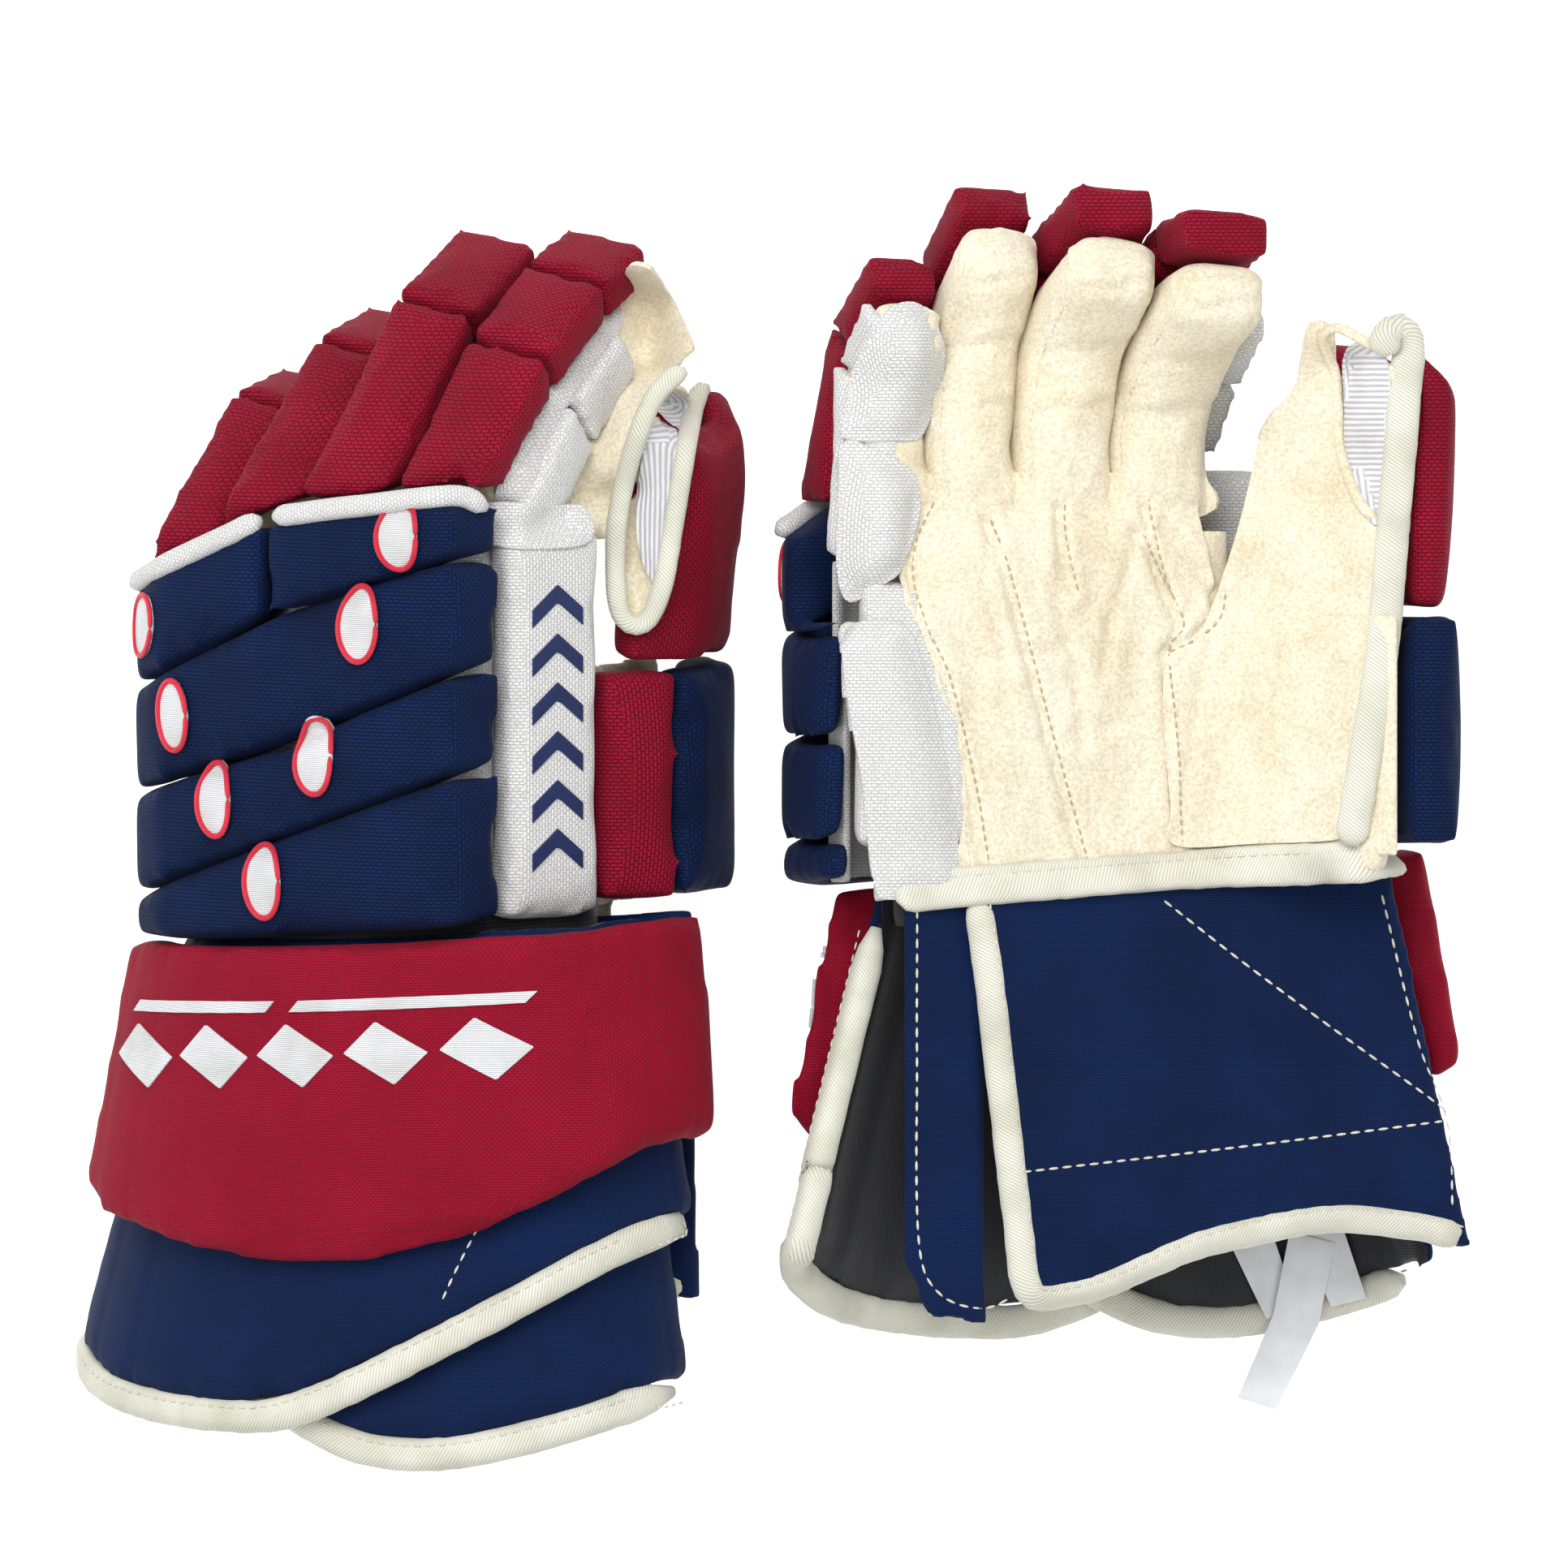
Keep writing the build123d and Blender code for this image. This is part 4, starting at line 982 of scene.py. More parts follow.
def softened(heights, rounds):
    """Fills the gaps in a grid of heights from their neighbours and smooths it."""
    known = ~np.isnan(heights)
    if not known.any():
        raise ValueError("the panel lies over nothing")
    filled = np.where(known, heights, 0.0)
    weight = known.astype(float)
    while not weight.all():
        total, count = np.zeros_like(filled), np.zeros_like(filled)
        for axis in (0, 1):
            for step in (1, -1):
                near = np.roll(filled * (weight > 0), step, axis)
                mark = np.roll((weight > 0).astype(float), step, axis)
                total += near
                count += mark
        fresh = (weight == 0) & (count > 0)
        filled[fresh] = total[fresh] / count[fresh]
        weight[fresh] = 1.0
    for _ in range(rounds):
        wide = np.pad(filled, 1, mode="edge")
        filled = (wide[:-2, 1:-1] + wide[2:, 1:-1] + wide[1:-1, :-2] + wide[1:-1, 2:]
                  + 4 * filled) / 8
    return filled


def height_at(heights, u, v):
    """The height between the grid's points; u and v are counted in cells."""
    i, j = (min(max(int(x), 0), n - 2) for x, n in zip((u, v), heights.shape))
    s, t = min(max(u - i, 0.0), 1.0), min(max(v - j, 0.0), 1.0)
    return float((heights[i, j] * (1 - s) + heights[i + 1, j] * s) * (1 - t)
                 + (heights[i, j + 1] * (1 - s) + heights[i + 1, j + 1] * s) * t)


def closed_curve(plan, steps=5):
    """A closed curve through the outline's corners."""
    return [catmull_rom(*(plan[(i + k) % len(plan)] for k in (-1, 0, 1, 2)), step / steps)
            for i in range(len(plan)) for step in range(steps)]


def pillow(outline, height, soft):
    """A relief that rises from an outline's edge to a height over a soft distance."""
    ring = closed(outline)
    return lambda u, v: height * (1 - math.exp(-((distance_to(ring, u, v) / soft) ** 1.5)))


def panel(name, matrix, sign, outline, trees, lift=0.5, thickness=1.5, spacing=2.0, rounds=6,
          relief=None, smooth=True, cut=False, floor=None):
    """A soft flat piece on the surface; outline in plan, lift and thickness in millimetres.
    With cut, it ends where the surface below ends or falls away steeply; anything deeper than
    floor (the matrix's z, in millimetres) isn't followed."""
    plan = [Vector((u, v)) for u, v in outline]
    if smooth:
        plan = closed_curve(plan)
    margin = Vector((spacing, spacing))
    low = Vector((min(p.x for p in plan), min(p.y for p in plan))) - margin
    high = Vector((max(p.x for p in plan), max(p.y for p in plan))) + margin
    cells = [max(2, round((h - lo) / spacing)) for lo, h in zip(low, high)]

    def spot_at(i, j):
        return Vector((low.x + (high.x - low.x) * i / cells[0],
                       low.y + (high.y - low.y) * j / cells[1]))

    inverse = matrix.inverted()
    heights = np.full((cells[0] + 1, cells[1] + 1), np.nan)
    for i in range(cells[0] + 1):
        for j in range(cells[1] + 1):
            found = hit(trees, matrix, *spot_at(i, j), sign)
            if found:
                height = (inverse @ found[0]).z
                if floor is None or (height - floor) * sign > 0:
                    heights[i, j] = height
    missed = np.isnan(heights)
    heights = softened(heights, rounds)
    bm = bmesh.new()
    bmesh.ops.create_grid(bm, x_segments=cells[0], y_segments=cells[1], size=0.5)
    inner = {}
    for vert in bm.verts:
        i = round((vert.co.x + 0.5) * cells[0])
        j = round((vert.co.y + 0.5) * cells[1])
        spot = spot_at(i, j)
        inner[vert] = within(plan, spot) and not (cut and missed[i, j])
        vert.co = (spot.x, spot.y, heights[i, j])
    drop = [face for face in bm.faces if not any(inner[vert] for vert in face.verts)]
    bmesh.ops.delete(bm, geom=drop, context="FACES")
    if cut:
        bm.normal_update()
        steep = [face for face in bm.faces if abs(face.normal.z) < 0.3]
        bmesh.ops.delete(bm, geom=steep, context="FACES")
    for vert in bm.verts:
        if not (inner[vert] or cut and within(plan, vert.co.xy)):
            vert.co.xy = nearest_on(plan + plan[:1], vert.co.xy)
    for _ in range(2):
        middle = [vert for vert in bm.verts if not vert.is_boundary]
        bmesh.ops.smooth_vert(bm, verts=middle, factor=0.5, use_axis_x=True, use_axis_y=True)
    for vert in bm.verts:
        extra = relief(vert.co.x, vert.co.y) if relief else 0.0
        base = height_at(heights, *((vert.co[k] - low[k]) / (high[k] - low[k]) * cells[k]
                                    for k in (0, 1)))
        vert.co.z = base + sign * (lift + extra)
    bmesh.ops.dissolve_degenerate(bm, dist=1e-3, edges=bm.edges)
    bmesh.ops.transform(bm, matrix=matrix, verts=bm.verts)
    bmesh.ops.recalc_face_normals(bm, faces=bm.faces)
    way = heading(matrix, 0, 0, sign)
    if sum(face.normal.dot(way) * face.calc_area() for face in bm.faces) < 0:
        bmesh.ops.reverse_faces(bm, faces=bm.faces)
    obj = to_object(bm, name)
    wall = obj.modifiers.new("wall", "SOLIDIFY")
    wall.thickness = thickness * MM
    wall.offset = -1.0
    rim = obj.modifiers.new("rim", "BEVEL")
    rim.width = min(0.45, thickness * 0.35) * MM
    rim.segments = 2
    rim.limit_method = "ANGLE"
    rim.angle_limit = math.radians(50)
    return baked(obj)


def tucked(outline, reach, depth):
    """A relief that draws a panel's edges in."""
    ring = closed(outline)
    return lambda u, v: -depth * bell(distance_to(ring, u, v), reach)


def measured_sheet(sheet):
    """Reads the sheet's points and centres them about their mean, and keeps nothing. There is no
    flat pattern: its size and area are the finished mesh's own.
    """
    points = coordinates(sheet.data)
    points = points - points.mean(axis=0)

# %% [markdown]
# ## Stitching
# A lock stitch shows as a row of short, rounded dashes, each a little sunk into the cloth. A row
# is laid on the surface first, and every stitch is a small flattened ball pulled out along it.
# All stitches of one body and thread are kept in one piece.

# %% Stitches
TAPE_STITCH = {"pitch": 3.6, "length": 2.4}
FLAP_STITCH = {"pitch": 4.2, "length": 3.1, "width": 0.8}
LOT = 40    # stitches made at once
sewn = {}   # where each stitch lies, for each body and thread


def sew(body, spots, ways, pitch=3.3, length=2.3, width=0.75, thread=None):
    """Adds stitches along laid places, pitch and sizes in millimetres."""
    even = evenly(list(spots), pitch * MM)
    j = 0
    for a, b in zip(even, even[1:]):
        centre = a.lerp(b, 0.5)
        while j < len(spots) - 1 and (spots[j + 1] - centre).length < (spots[j] - centre).length:
            j += 1
        ahead = (b - a).normalized()
        way = (ways[j] - ahead * ways[j].dot(ahead)).normalized()
        lay = Matrix((ahead * length / 2, way.cross(ahead) * width / 2, way * width * 0.32))
        lay = (lay * MM).transposed().to_4x4()
        lay.translation = centre
        sewn.setdefault((body, thread or THREAD), []).append(lay)


def sew_row(body, line, trees, lift=0.1, sign=-1, **stitch):
    """Sews a row along a line in the plan of the body's glove."""
    sew(body, *laid(line, trees, FRAMES[side_of(body)], sign, lift=lift), **stitch)


def sewn_pieces():
    """Makes one piece of stitches for each body and thread, lot by lot."""
    for (body, thread), lays in sewn.items():
        whole = bmesh.new()
        for first in range(0, len(lays), LOT):
            bm = bmesh.new()
            for lay in lays[first:first + LOT]:
                bmesh.ops.create_uvsphere(bm, u_segments=6, v_segments=4, radius=1.0,
                                          matrix=lay @ Matrix.Rotation(math.pi / 2, 4, "Y"))
            spare = bpy.data.meshes.new("spare")
            bm.to_mesh(spare)
            bm.free()
            whole.from_mesh(spare)
            bpy.data.meshes.remove(spare)
        obj = to_object(whole, f"{body}_{thread.name}_stitches")
        dressed(obj, thread, body)
        print(obj.name, len(lays))

# %% [markdown]
# ## The palm
# The palm is one sheet of suede from the wrist to the finger crotches. It puffs a little between
# its seams, sinks along them, and has soft folds that run down from each crotch, because a worn
# palm keeps the hand's creases.

# %% Folds and seams as relief
PALM_SEAMS = [
    [(-13.5, 95), (-6, 70), (4, 35), (12, 8), (15.5, -4)],
    [(32, 91), (40, 76), (45, 64), (40.5, 56), (43, 25), (44.4, 1)],
    [(57, 74), (55.4, 66), (48, 60), (40.5, 56.5)],
    [(-29, 100), (-36, 84), (-34, 66), (-26.5, 49), (-19, 20), (-14.5, -6)],
    [(10, 108), (8.5, 96), (9.5, 84), (12, 74)],
    [(34, 108), (35, 94), (38, 82), (42, 72)],
]
FOLDS = [   # line, depth and width
    ([(9, 92), (8, 70), (14, 50), (16, 30)], 1.1, 3.2),
    ([(-12, 92), (-14, 75), (-8, 55), (-9, 40)], 0.8, 3.0),
    ([(31, 92), (30, 80), (24, 66), (22, 50)], 1.0, 3.0),
    ([(40, 92), (50, 84), (57, 70)], 0.9, 3.0),
    ([(-30, 60), (-12, 54), (10, 58)], 0.6, 3.5),
    ([(-22, 36), (0, 30), (30, 36)], 0.5, 4.0),
    ([(46, 40), (60, 30), (80, 26)], 0.5, 5.0),
]


def creases(u, v, size=1.0):
    """Small soft wrinkles, longer along v than across."""
    spot = Vector((u / 9.0, v / 17.0, 3.0))
    ridge = 1.0 - abs(noise.noise(spot)) * 2.0
    return size * (0.55 * ridge ** 3 + 0.5 * noise.noise(Vector((u / 16.0, v / 20.0, 8.0))))


def palm_relief(u, v):
    rise = creases(u, v) - 2.4 * max(0.0, min(1.0, (v - 101.0) / 6.0))
    for line in PALM_SEAMS:
        far = distance_to(line, u, v)
        rise += -1.5 * bell(far, 1.2) + 0.8 * bell(far - 3.6, 2.4)
    for line, depth, wide in FOLDS:
        far = distance_to(line, u, v)
        rise -= depth * bell(far, wide * 0.6)
        rise += 0.6 * depth * bell(far - wide * 1.3, wide)
    return rise


PALM_OUTLINE = [(-19, -9.5), (15, -7.5), (45, -6), (66, -5), (85, -3.5), (98.5, -2),
                (99.5, 20), (99.5, 40), (98.5, 57.5), (86, 60), (72, 61), (63, 64), (58, 70),
                (54.5, 84), (52, 96), (50, 108), (31, 108), (9, 108), (-14, 108), (-30, 107),
                (-36, 97), (-38, 84), (-35, 68), (-28, 50), (-20, 20)]

# %% The palm sheets
PALM_END = {"left": 61.5, "right": 98.0}   # the left one's thumb base stands upright
palms = {}
for side in SIDES:
    trees = surface(*(covers[f"{side}_{part}"] for part in
                      ("palm", "pinky_side_roll", "index_sleeve", "middle_sleeve",
                       "ring_sleeve", "pinky_sleeve")))
    end = PALM_END[side]
    outline = [(min(u, end), v) for u, v in PALM_OUTLINE if u < end or v < 5 or 55 < v < 65]
    sheet = panel(f"{side}_palm_sheet", FRAMES[side], -1, outline, trees, lift=1.2,
                  thickness=1.6, spacing=1.25, rounds=36, relief=palm_relief)
    palms[side] = dressed(sheet, SUEDE, f"{side}_hand")
    measured_sheet(sheet)
print("palm sheets:", [len(p.data.polygons) for p in palms.values()])

# %% [markdown]
# ## Leather fronts of the fingers
# Each stall's palm side is a leather front that runs from the fingertip down into the palm. Its
# sides are drawn into the seams, its lower end dives under the palm's surface, and three creases
# run across it.

# %% Finger fronts
FINGERS = ("pinky", "ring", "middle", "index")
CROTCH = 108.0          # the v of the palm's upper edge
FRONT_END = 96.0        # the v where a front ends under the palm
CREASES_AT = (0.12, 0.42, 0.72)


def finger_front(side, finger, left_base, right_base, spans):
    """An outline up one side of a stall and down the other, and its relief."""
    low, tip = spans[0][0], spans[-1][0] + 3.0
    left = [(max(lo, -90.0) + 0.7, v) for v, lo, _ in spans]
    right = [(hi - 0.7, v) for v, _, hi in spans]
    outline = ([(left_base, FRONT_END), (left_base, CROTCH)] + left
               + [(left[-1][0] * 0.6 + right[-1][0] * 0.4, tip),
                  (left[-1][0] * 0.4 + right[-1][0] * 0.6, tip)] + right[::-1]
               + [(right_base, CROTCH), (right_base, FRONT_END)])
    edge = tucked(outline, 1.7, 2.6)
    bends = [low + (tip - low) * share for share in CREASES_AT]
    seed = 11.0 * FINGERS.index(finger)

    def relief(u, v):
        rise = 1.2 * creases(u * 1.3 + seed, v * 0.8, 1.0) + edge(u, v)
        for bend in bends:
            off = v - bend - 0.12 * (u - left_base) - 1.5 * noise.noise(Vector((u / 6, seed, 1)))
            rise += -1.0 * bell(off, 1.3) + 0.7 * bell(off - 3.6, 2)
        return rise - 2.6 * max(0.0, min(1.0, (104.0 - v) / 8.0))
    return outline, relief


def across_knuckle(obj, side, finger):
    """Bakes a piece's placing into its mesh; it is not bent or blended.
    Gives the knuckle's place and the way towards the fingertip."""
    knuckle = Vector(joints[f"{side}_{finger}_knuckle"]["pos_m"])
    along = heading(FRAMES[side], 0, 1, 0)
    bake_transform(obj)
    return knuckle, along


for side in SIDES:
    spans = {}
    for finger in FINGERS:
        points = local_points(covers[f"{side}_{finger}_sleeve"], side)
        top = points[:, 1].max() - 3.0
        levels = np.linspace(118.0, top, 9)
        rows = [points[abs(points[:, 1] - v) < 3.5] for v in levels]
        spans[finger] = [(float(v), float(row[:, 0].min()), float(row[:, 0].max()))
                         for v, row in zip(levels, rows) if len(row)]
    bases = [spans["pinky"][0][1]]
    for a, b in zip(FINGERS, FINGERS[1:]):
        bases.append((spans[a][0][2] + spans[b][0][1]) / 2)
    bases.append(spans["index"][0][2])
    for i, finger in enumerate(FINGERS):
        outline, relief = finger_front(side, finger, bases[i] + 0.3, bases[i + 1] - 0.3,
                                       spans[finger])
        front = panel(f"{side}_{finger}_front", FRAMES[side], -1, outline,
                      surface(covers[f"{side}_{finger}_sleeve"], palms[side]), lift=1.3,
                      thickness=1.4, spacing=1.4, rounds=8, relief=relief)
        measured_sheet(dressed(front, SUEDE, None))
        knuckle, along = across_knuckle(front, side, finger)
        spots, ways = laid([(u + 1.8, v) for u, v in outline[:9]], surface(front), FRAMES[side],
                           -1, lift=0.05)
        upper = [k for k, spot in enumerate(spots) if (spot - knuckle).dot(along) > 12 * MM]
        if len(upper) > 9:
            sew(f"{side}_{finger}_finger", [spots[k] for k in upper], [ways[k] for k in upper],
                pitch=2.6, length=1.8, width=0.5)
print("finger fronts done")

# %% [markdown]
# ## The palm flap
# The flap that closes the cuff is bound down its free side and along its wavy hem, and a wide
# tape covers its seam at the wrist. Two rows of white stitches cross it, and a third runs down
# its thumb side. Under its free side lies the narrow gusset, sewn near its edge.

# %% Tapes and stitches of the flap
FLAP_EDGES = {"left": ((-24.0, -24.0), (90.0, 92.0)), "right": ((-20.0, -6.0), (107.0, 132.0))}
WRIST_SEAM = [(-40, -12.5), (-24, -10.8), (15, -8.0), (60, -5.0), (92, -3.0), (107, -2.5)]
DART = [(54.5, -88), (50, -98), (45, -110)]


def laid_tape(name, line, trees, lift, width, thickness, body, **shape):
    """A bound edge or seam on the palm side."""
    spots, ways = laid(line, trees, FRAMES[side_of(name)], -1, lift=lift, spacing=HEM_STEP)
    spots = smooth_line(spots, HEM_STEP * MM)
    ways = [ways[min(i, len(ways) - 1)] for i in range(len(spots))]
    return dressed(bar(name, spots, ways, width, thickness, **shape), TWILL, body)


for side in SIDES:
    (left_top, left_hem), (right_top, right_hem) = FLAP_EDGES[side]
    span = right_hem - left_hem
    hand, body = f"{side}_hand", f"{side}_palm_closure"
    flap = covers[f"{side}_palm_flap"]
    edge = [(left_top + 2.5, -14), (left_top + (left_hem - left_top) * 0.5 + 1.8, -60),
            (left_hem + 1.2, -112), (left_hem + 3.5, -124), (left_hem + 9, -129.0),
            (left_hem + 0.2 * span, -125.5), (left_hem + 0.42 * span, -113),
            (left_hem + 0.68 * span, -106), (left_hem + 0.86 * span, -107.5),
            (right_hem - 3, -111)]
    tape = laid_tape(f"{side}_palm_flap_tape", edge, surface(flap), -2.2, 8.6, 7.4, body,
                     ripple=0.05)
    trees = surface(flap, tape)
    inner = [(u + 3.2, v) if i < 4 else (u, v + 3.2) for i, (u, v) in enumerate(edge)]
    sew_row(body, inner, trees, **TAPE_STITCH)
    slant = [(38.8, -14), (80.0, -44), (right_hem - 8.2, -74.5)]
    level = [(left_hem + 1.0, -92), (60.0, -85), (right_hem - 9.0, -77.3)]
    thumb_side = [(right_top - 3, -12), (right_top + 0.42 * (right_hem - right_top) - 2.5, -55),
                  (right_hem - 8, -76), (right_hem - 7.0, -102)]
    gusset = [(-34, -16), (-34, -60), (-33.5, -112), (-27, -127), (-14, -131), (left_hem, -128)]
    for row in (slant, level, thumb_side, gusset):
        sew_row(body, row, trees, lift=0.12, **FLAP_STITCH)
    # the wide tape over the wrist seam, on the hand's side
    wrist = WRIST_SEAM[:4] if side == "left" else WRIST_SEAM
    tape = laid_tape(f"{side}_wrist_tape", wrist,
                     surface(flap, covers[f"{side}_palm"], palms[side]), 0.6, 12.0, 4.0, hand,
                     power=4.0, ripple=0.04)
    sew_row(hand, [(u, v + 3.4) for u, v in wrist], surface(tape), **TAPE_STITCH)
for side, row, ways in hem_rows:
    sew(f"{side}_cuff", row, ways, **TAPE_STITCH)
sew_row("left_cuff", DART, surface(covers["left_cuff_back_flap"]), sign=1, pitch=4.0, length=2.9)
print("flap rows sewn")

# %% [markdown]
# ## Embroidery
# The rolls carry satin-stitched ovals, white with a raised red border: three down the middle and
# four down the little-finger side. The first one runs up to the piping. The white strip and the
# cuff roll carry plain geometric rows in navy and in white.

# %% Ovals, chevrons and lozenges


def patch(name, outline, trees, body, border=None, lift=0.55, rounds=2, cut=True):
    """A white satin-stitched patch on the back, and the red border around it if it has one."""
    matrix = FRAMES[side_of(name)]
    face = panel(name, matrix, 1, outline, trees, lift=lift, thickness=1.0, spacing=1.0,
                 rounds=rounds, smooth=False, cut=cut)
    dressed(face, WHITE_SATIN, body)
    if border:
        middle = sum((Vector(p) for p in outline), Vector((0, 0))) / len(outline)
        ring = [middle.lerp(Vector(p), 0.95).to_tuple() for p in outline + outline[:1]]
        spots, ways = laid(ring, surface(face), matrix, 1, lift=0.1, spacing=1.0)
        rim = bar(name + "_border", spots, ways, border, 1.3, power=2.2, segments=8)
        dressed(rim, RED_SATIN, body)


def oval(u, v, wide, high, tilt, top=None):
    """An oval's outline round (u, v), tilted by some degrees and cut off at the top."""
    c, s = math.cos(math.radians(tilt)), math.sin(math.radians(tilt))
    out = []
    for k in range(24):
        turn = 2 * math.pi * k / 24
        x, y = wide / 2 * math.cos(turn), high / 2 * math.sin(turn)
        place = (u + x * c - y * s, v + x * s + y * c)
        out.append((place[0], min(place[1], top) if top else place[1]))
    return out


OVALS = [(33.5, 110.0, 12.6, 21.0, 0.0, 118.0), (22.0, 84.1, 12.6, 22.6, 3.0),
         (7.6, 45.5, 12.4, 22.6, 4.0), (-52.6, 80.0, 9.6, 18.5, -6.0),
         (-39.3, 55.2, 10.6, 21.0, 5.0), (-25.4, 31.7, 11.4, 22.0, 5.0),
         (-9.0, 9.0, 12.0, 22.0, 5.0)]
STEEP_U = -50   # beyond it the rolls fall away, so an oval ends where they do
for side in SIDES:
    rolls = surface(*(covers[f"{side}_backhand_roll_{n}"] for n in (1, 2, 3, 4)))
    for number, shape in enumerate(OVALS, 1):
        patch(f"{side}_oval_{number}", oval(*shape), rolls, f"{side}_hand", border=1.7, lift=1.4,
              rounds=10, cut=shape[0] < STEEP_U)
print("ovals:", 2 * len(OVALS))

# %% Rows on the strip and on the cuff
STRIP_SLOPE = {"left": 62.0, "right": 40.0}
STRIP_TOP = (57.5, 0.0, 23.2)
CHEVRON = [(8, 0), (17, 7), (26, 0), (26, 5), (17, 12), (8, 5)]
LOZENGE = [(-12.5, 0), (-3, 9.5), (12.5, 1), (3, -8.5)]
STRIPES = [(-58, -6), (2, 70)]
STRIPE_WIDTH = 3.4
STRIPE_RISE = 13.0   # above the lozenges


def cuff_level(u):
    """The v of the cuff's row of lozenges."""
    return -44.0 + 0.06 * (u + 55.0)


for side in SIDES:
    cuff = f"{side}_cuff"
    across_strip = (FRAMES[side] @ Matrix.Translation(STRIP_TOP)
                    @ Matrix.Rotation(math.radians(STRIP_SLOPE[side]), 4, "Y"))
    trees = surface(covers[f"{side}_index_side_roll"])
    for number in range(6):
        low = 12.0 + 14.0 * number
        face = panel(f"{side}_strip_chevron_{number + 1}", across_strip, 1,
                     [(u, low + v) for u, v in CHEVRON], trees, lift=0.5, thickness=0.9,
                     spacing=1.0, rounds=2, smooth=False)
        dressed(face, NAVY_SATIN, f"{side}_hand")
    trees = surface(covers[f"{side}_cuff_roll"])
    for number in range(5):
        u = -52.0 + 28.0 * number
        v = cuff_level(u)
        patch(f"{side}_cuff_lozenge_{number + 1}", [(u + du, v + dv) for du, dv in LOZENGE],
              trees, cuff)
    for number, (first, last) in enumerate(STRIPES, 1):
        low, high = (cuff_level(u) + STRIPE_RISE for u in (first, last))
        middle, level = (first + last) / 2, (low + high) / 2
        stripe = [(first, low), (middle, level), (last, high), (last + 3, high + STRIPE_WIDTH),
                  (middle, level + STRIPE_WIDTH), (first + 3, low + STRIPE_WIDTH)]
        patch(f"{side}_cuff_stripe_{number}", stripe, trees, cuff)
print("rows done")

# %% [markdown]
# ## Piping, the wrist's ring of painted shade and the cuff's inside
# White piping fills the seam between the finger pads and the first roll, in two lengths. A dark
# tricot ring closes the wrist from inside, so that no light shows between hand and cuff; it is
# painted shade, a dark sheet where the glove's inside lies in shadow. The inner faces of both cuff
# flaps are lined in the same tricot.

# %% Piping
PIPING = {"outer": [(-60.5, 92.2), (-40, 101.5), (-11.6, 114.0)],
          "inner": [(-7.5, 115.0), (20, 119.5), (48, 122.5), (57, 118.5)]}
for side in SIDES:
    trees = surface(covers[f"{side}_backhand_roll_1"])
    up = FRAMES[side].to_3x3() @ Vector((0, 1.0, 0))
    for name, line in PIPING.items():
        behind = [(u, v - 7.0) for u, v in line]
        spots, ways = laid(behind, trees, FRAMES[side], 1, lift=-2.0, spacing=2.0)
        spots = [spot + up * 6.0 for spot in spots]
        cord = bar(f"{side}_piping_{name}", spots, ways, 6.4, 6.4, power=2.2, segments=12)
        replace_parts(dressed(cord, WHITE_MESH, f"{side}_hand"), f"{side}_knuckle_piping")

# %% Wrist ring of painted shade and lined flaps
RING_POINTS = 60
RING_START, RING_SWEEP = 200.0, 230.0   # degrees round the cuff
for side in SIDES:
    spots, ways = [], []
    matrix = FRAMES[side]
    radius_u, radius_w, centre_u, centre_w = cuff_section(side, 0.0)
    for k in range(RING_POINTS):
        turn = math.radians(RING_START - RING_SWEEP * k / (RING_POINTS - 1))
        inset = 21.0 + 13.0 * max(0.0, math.cos(turn))
        flat = Vector((math.cos(turn) * (radius_u - inset), 0.0,
                       math.sin(turn) * (radius_w - inset)))
        height = WRIST_HINGE[1] + 0.065 * (centre_u + flat.x)
        spots.append(matrix @ (flat + Vector((centre_u, height, centre_w))))
        ways.append((matrix.to_3x3() @ flat).normalized())
    # The ring is painted shade: a dark sheet where the glove's inside lies in shadow.
    dressed(bar(f"{side}_wrist_lining", spots, ways, 26.0, 3.0, power=4.0), TRICOT,
            f"{side}_hand")
    for part in ("cuff_back_flap", "cuff_side_flap"):
        flap = covers[f"{side}_{part}"]
        flap.data.materials.append(TRICOT)
        points = local_points(flap, side)
        inverse = inverse_array(side)[:3, :3]
        for face in flap.data.polygons:
            u, v, w = points[face.vertices[0]]
            _, _, centre_u, centre_w = cuff_section(side, v)
            facing = inverse @ np.array(face.normal)
            if facing[0] * (u - centre_u) + facing[2] * (w - centre_w) < 0:
                face.material_index = 1
print("wrist rings and linings done")

# %% [markdown]
# ## The outer edge of the hand
# On the little-finger side a long white strip lies between the rolls and the palm. On the right
# glove, which shows its palm, two more white pads lie on the little finger's outer edge. They are
# thin pillows: panels whose relief rises quickly from the outline. A dashed row runs along the
# strip's inner edge.

# %% White strip and little-finger pads
STRIP = [(-56, 58), (-50, 65.5), (-38, 64), (-32, 51), (-24.5, 20), (-19.5, -10), (-21, -13),
         (-42, -14), (-46, -9), (-50, 20)]
STRIP_ROW = [(-35.5, 61), (-29.5, 50), (-22, 20), (-17.8, -7)]
for side in SIDES:
    trees = surface(covers[f"{side}_pinky_side_roll"])
    strip = panel(f"{side}_outer_strip", FRAMES[side], -1, STRIP, trees, lift=1.0, thickness=2.2,
                  spacing=1.6, rounds=40, relief=pillow(STRIP, 4.6, 5.0), floor=-14.0)
    dressed(strip, WHITE_MESH, f"{side}_hand")
    sew_row(f"{side}_hand", STRIP_ROW, surface(strip, palms[side]), pitch=2.6, length=1.8,
            width=0.55)
PINKY_PADS = {
    "tip": [(-52.6, 118), (-51.5, 126), (-49.5, 141), (-44, 153), (-36, 157), (-29, 153.5),
            (-23, 137.5), (-28, 119.5), (-40, 117)],
    "base": [(-55.5, 81), (-55, 100), (-53.2, 116), (-46, 115), (-31.5, 105), (-37, 82),
             (-45, 75), (-51.5, 71)],
}
trees = surface(covers["right_pinky_sleeve"], covers["right_pinky_side_pads"])
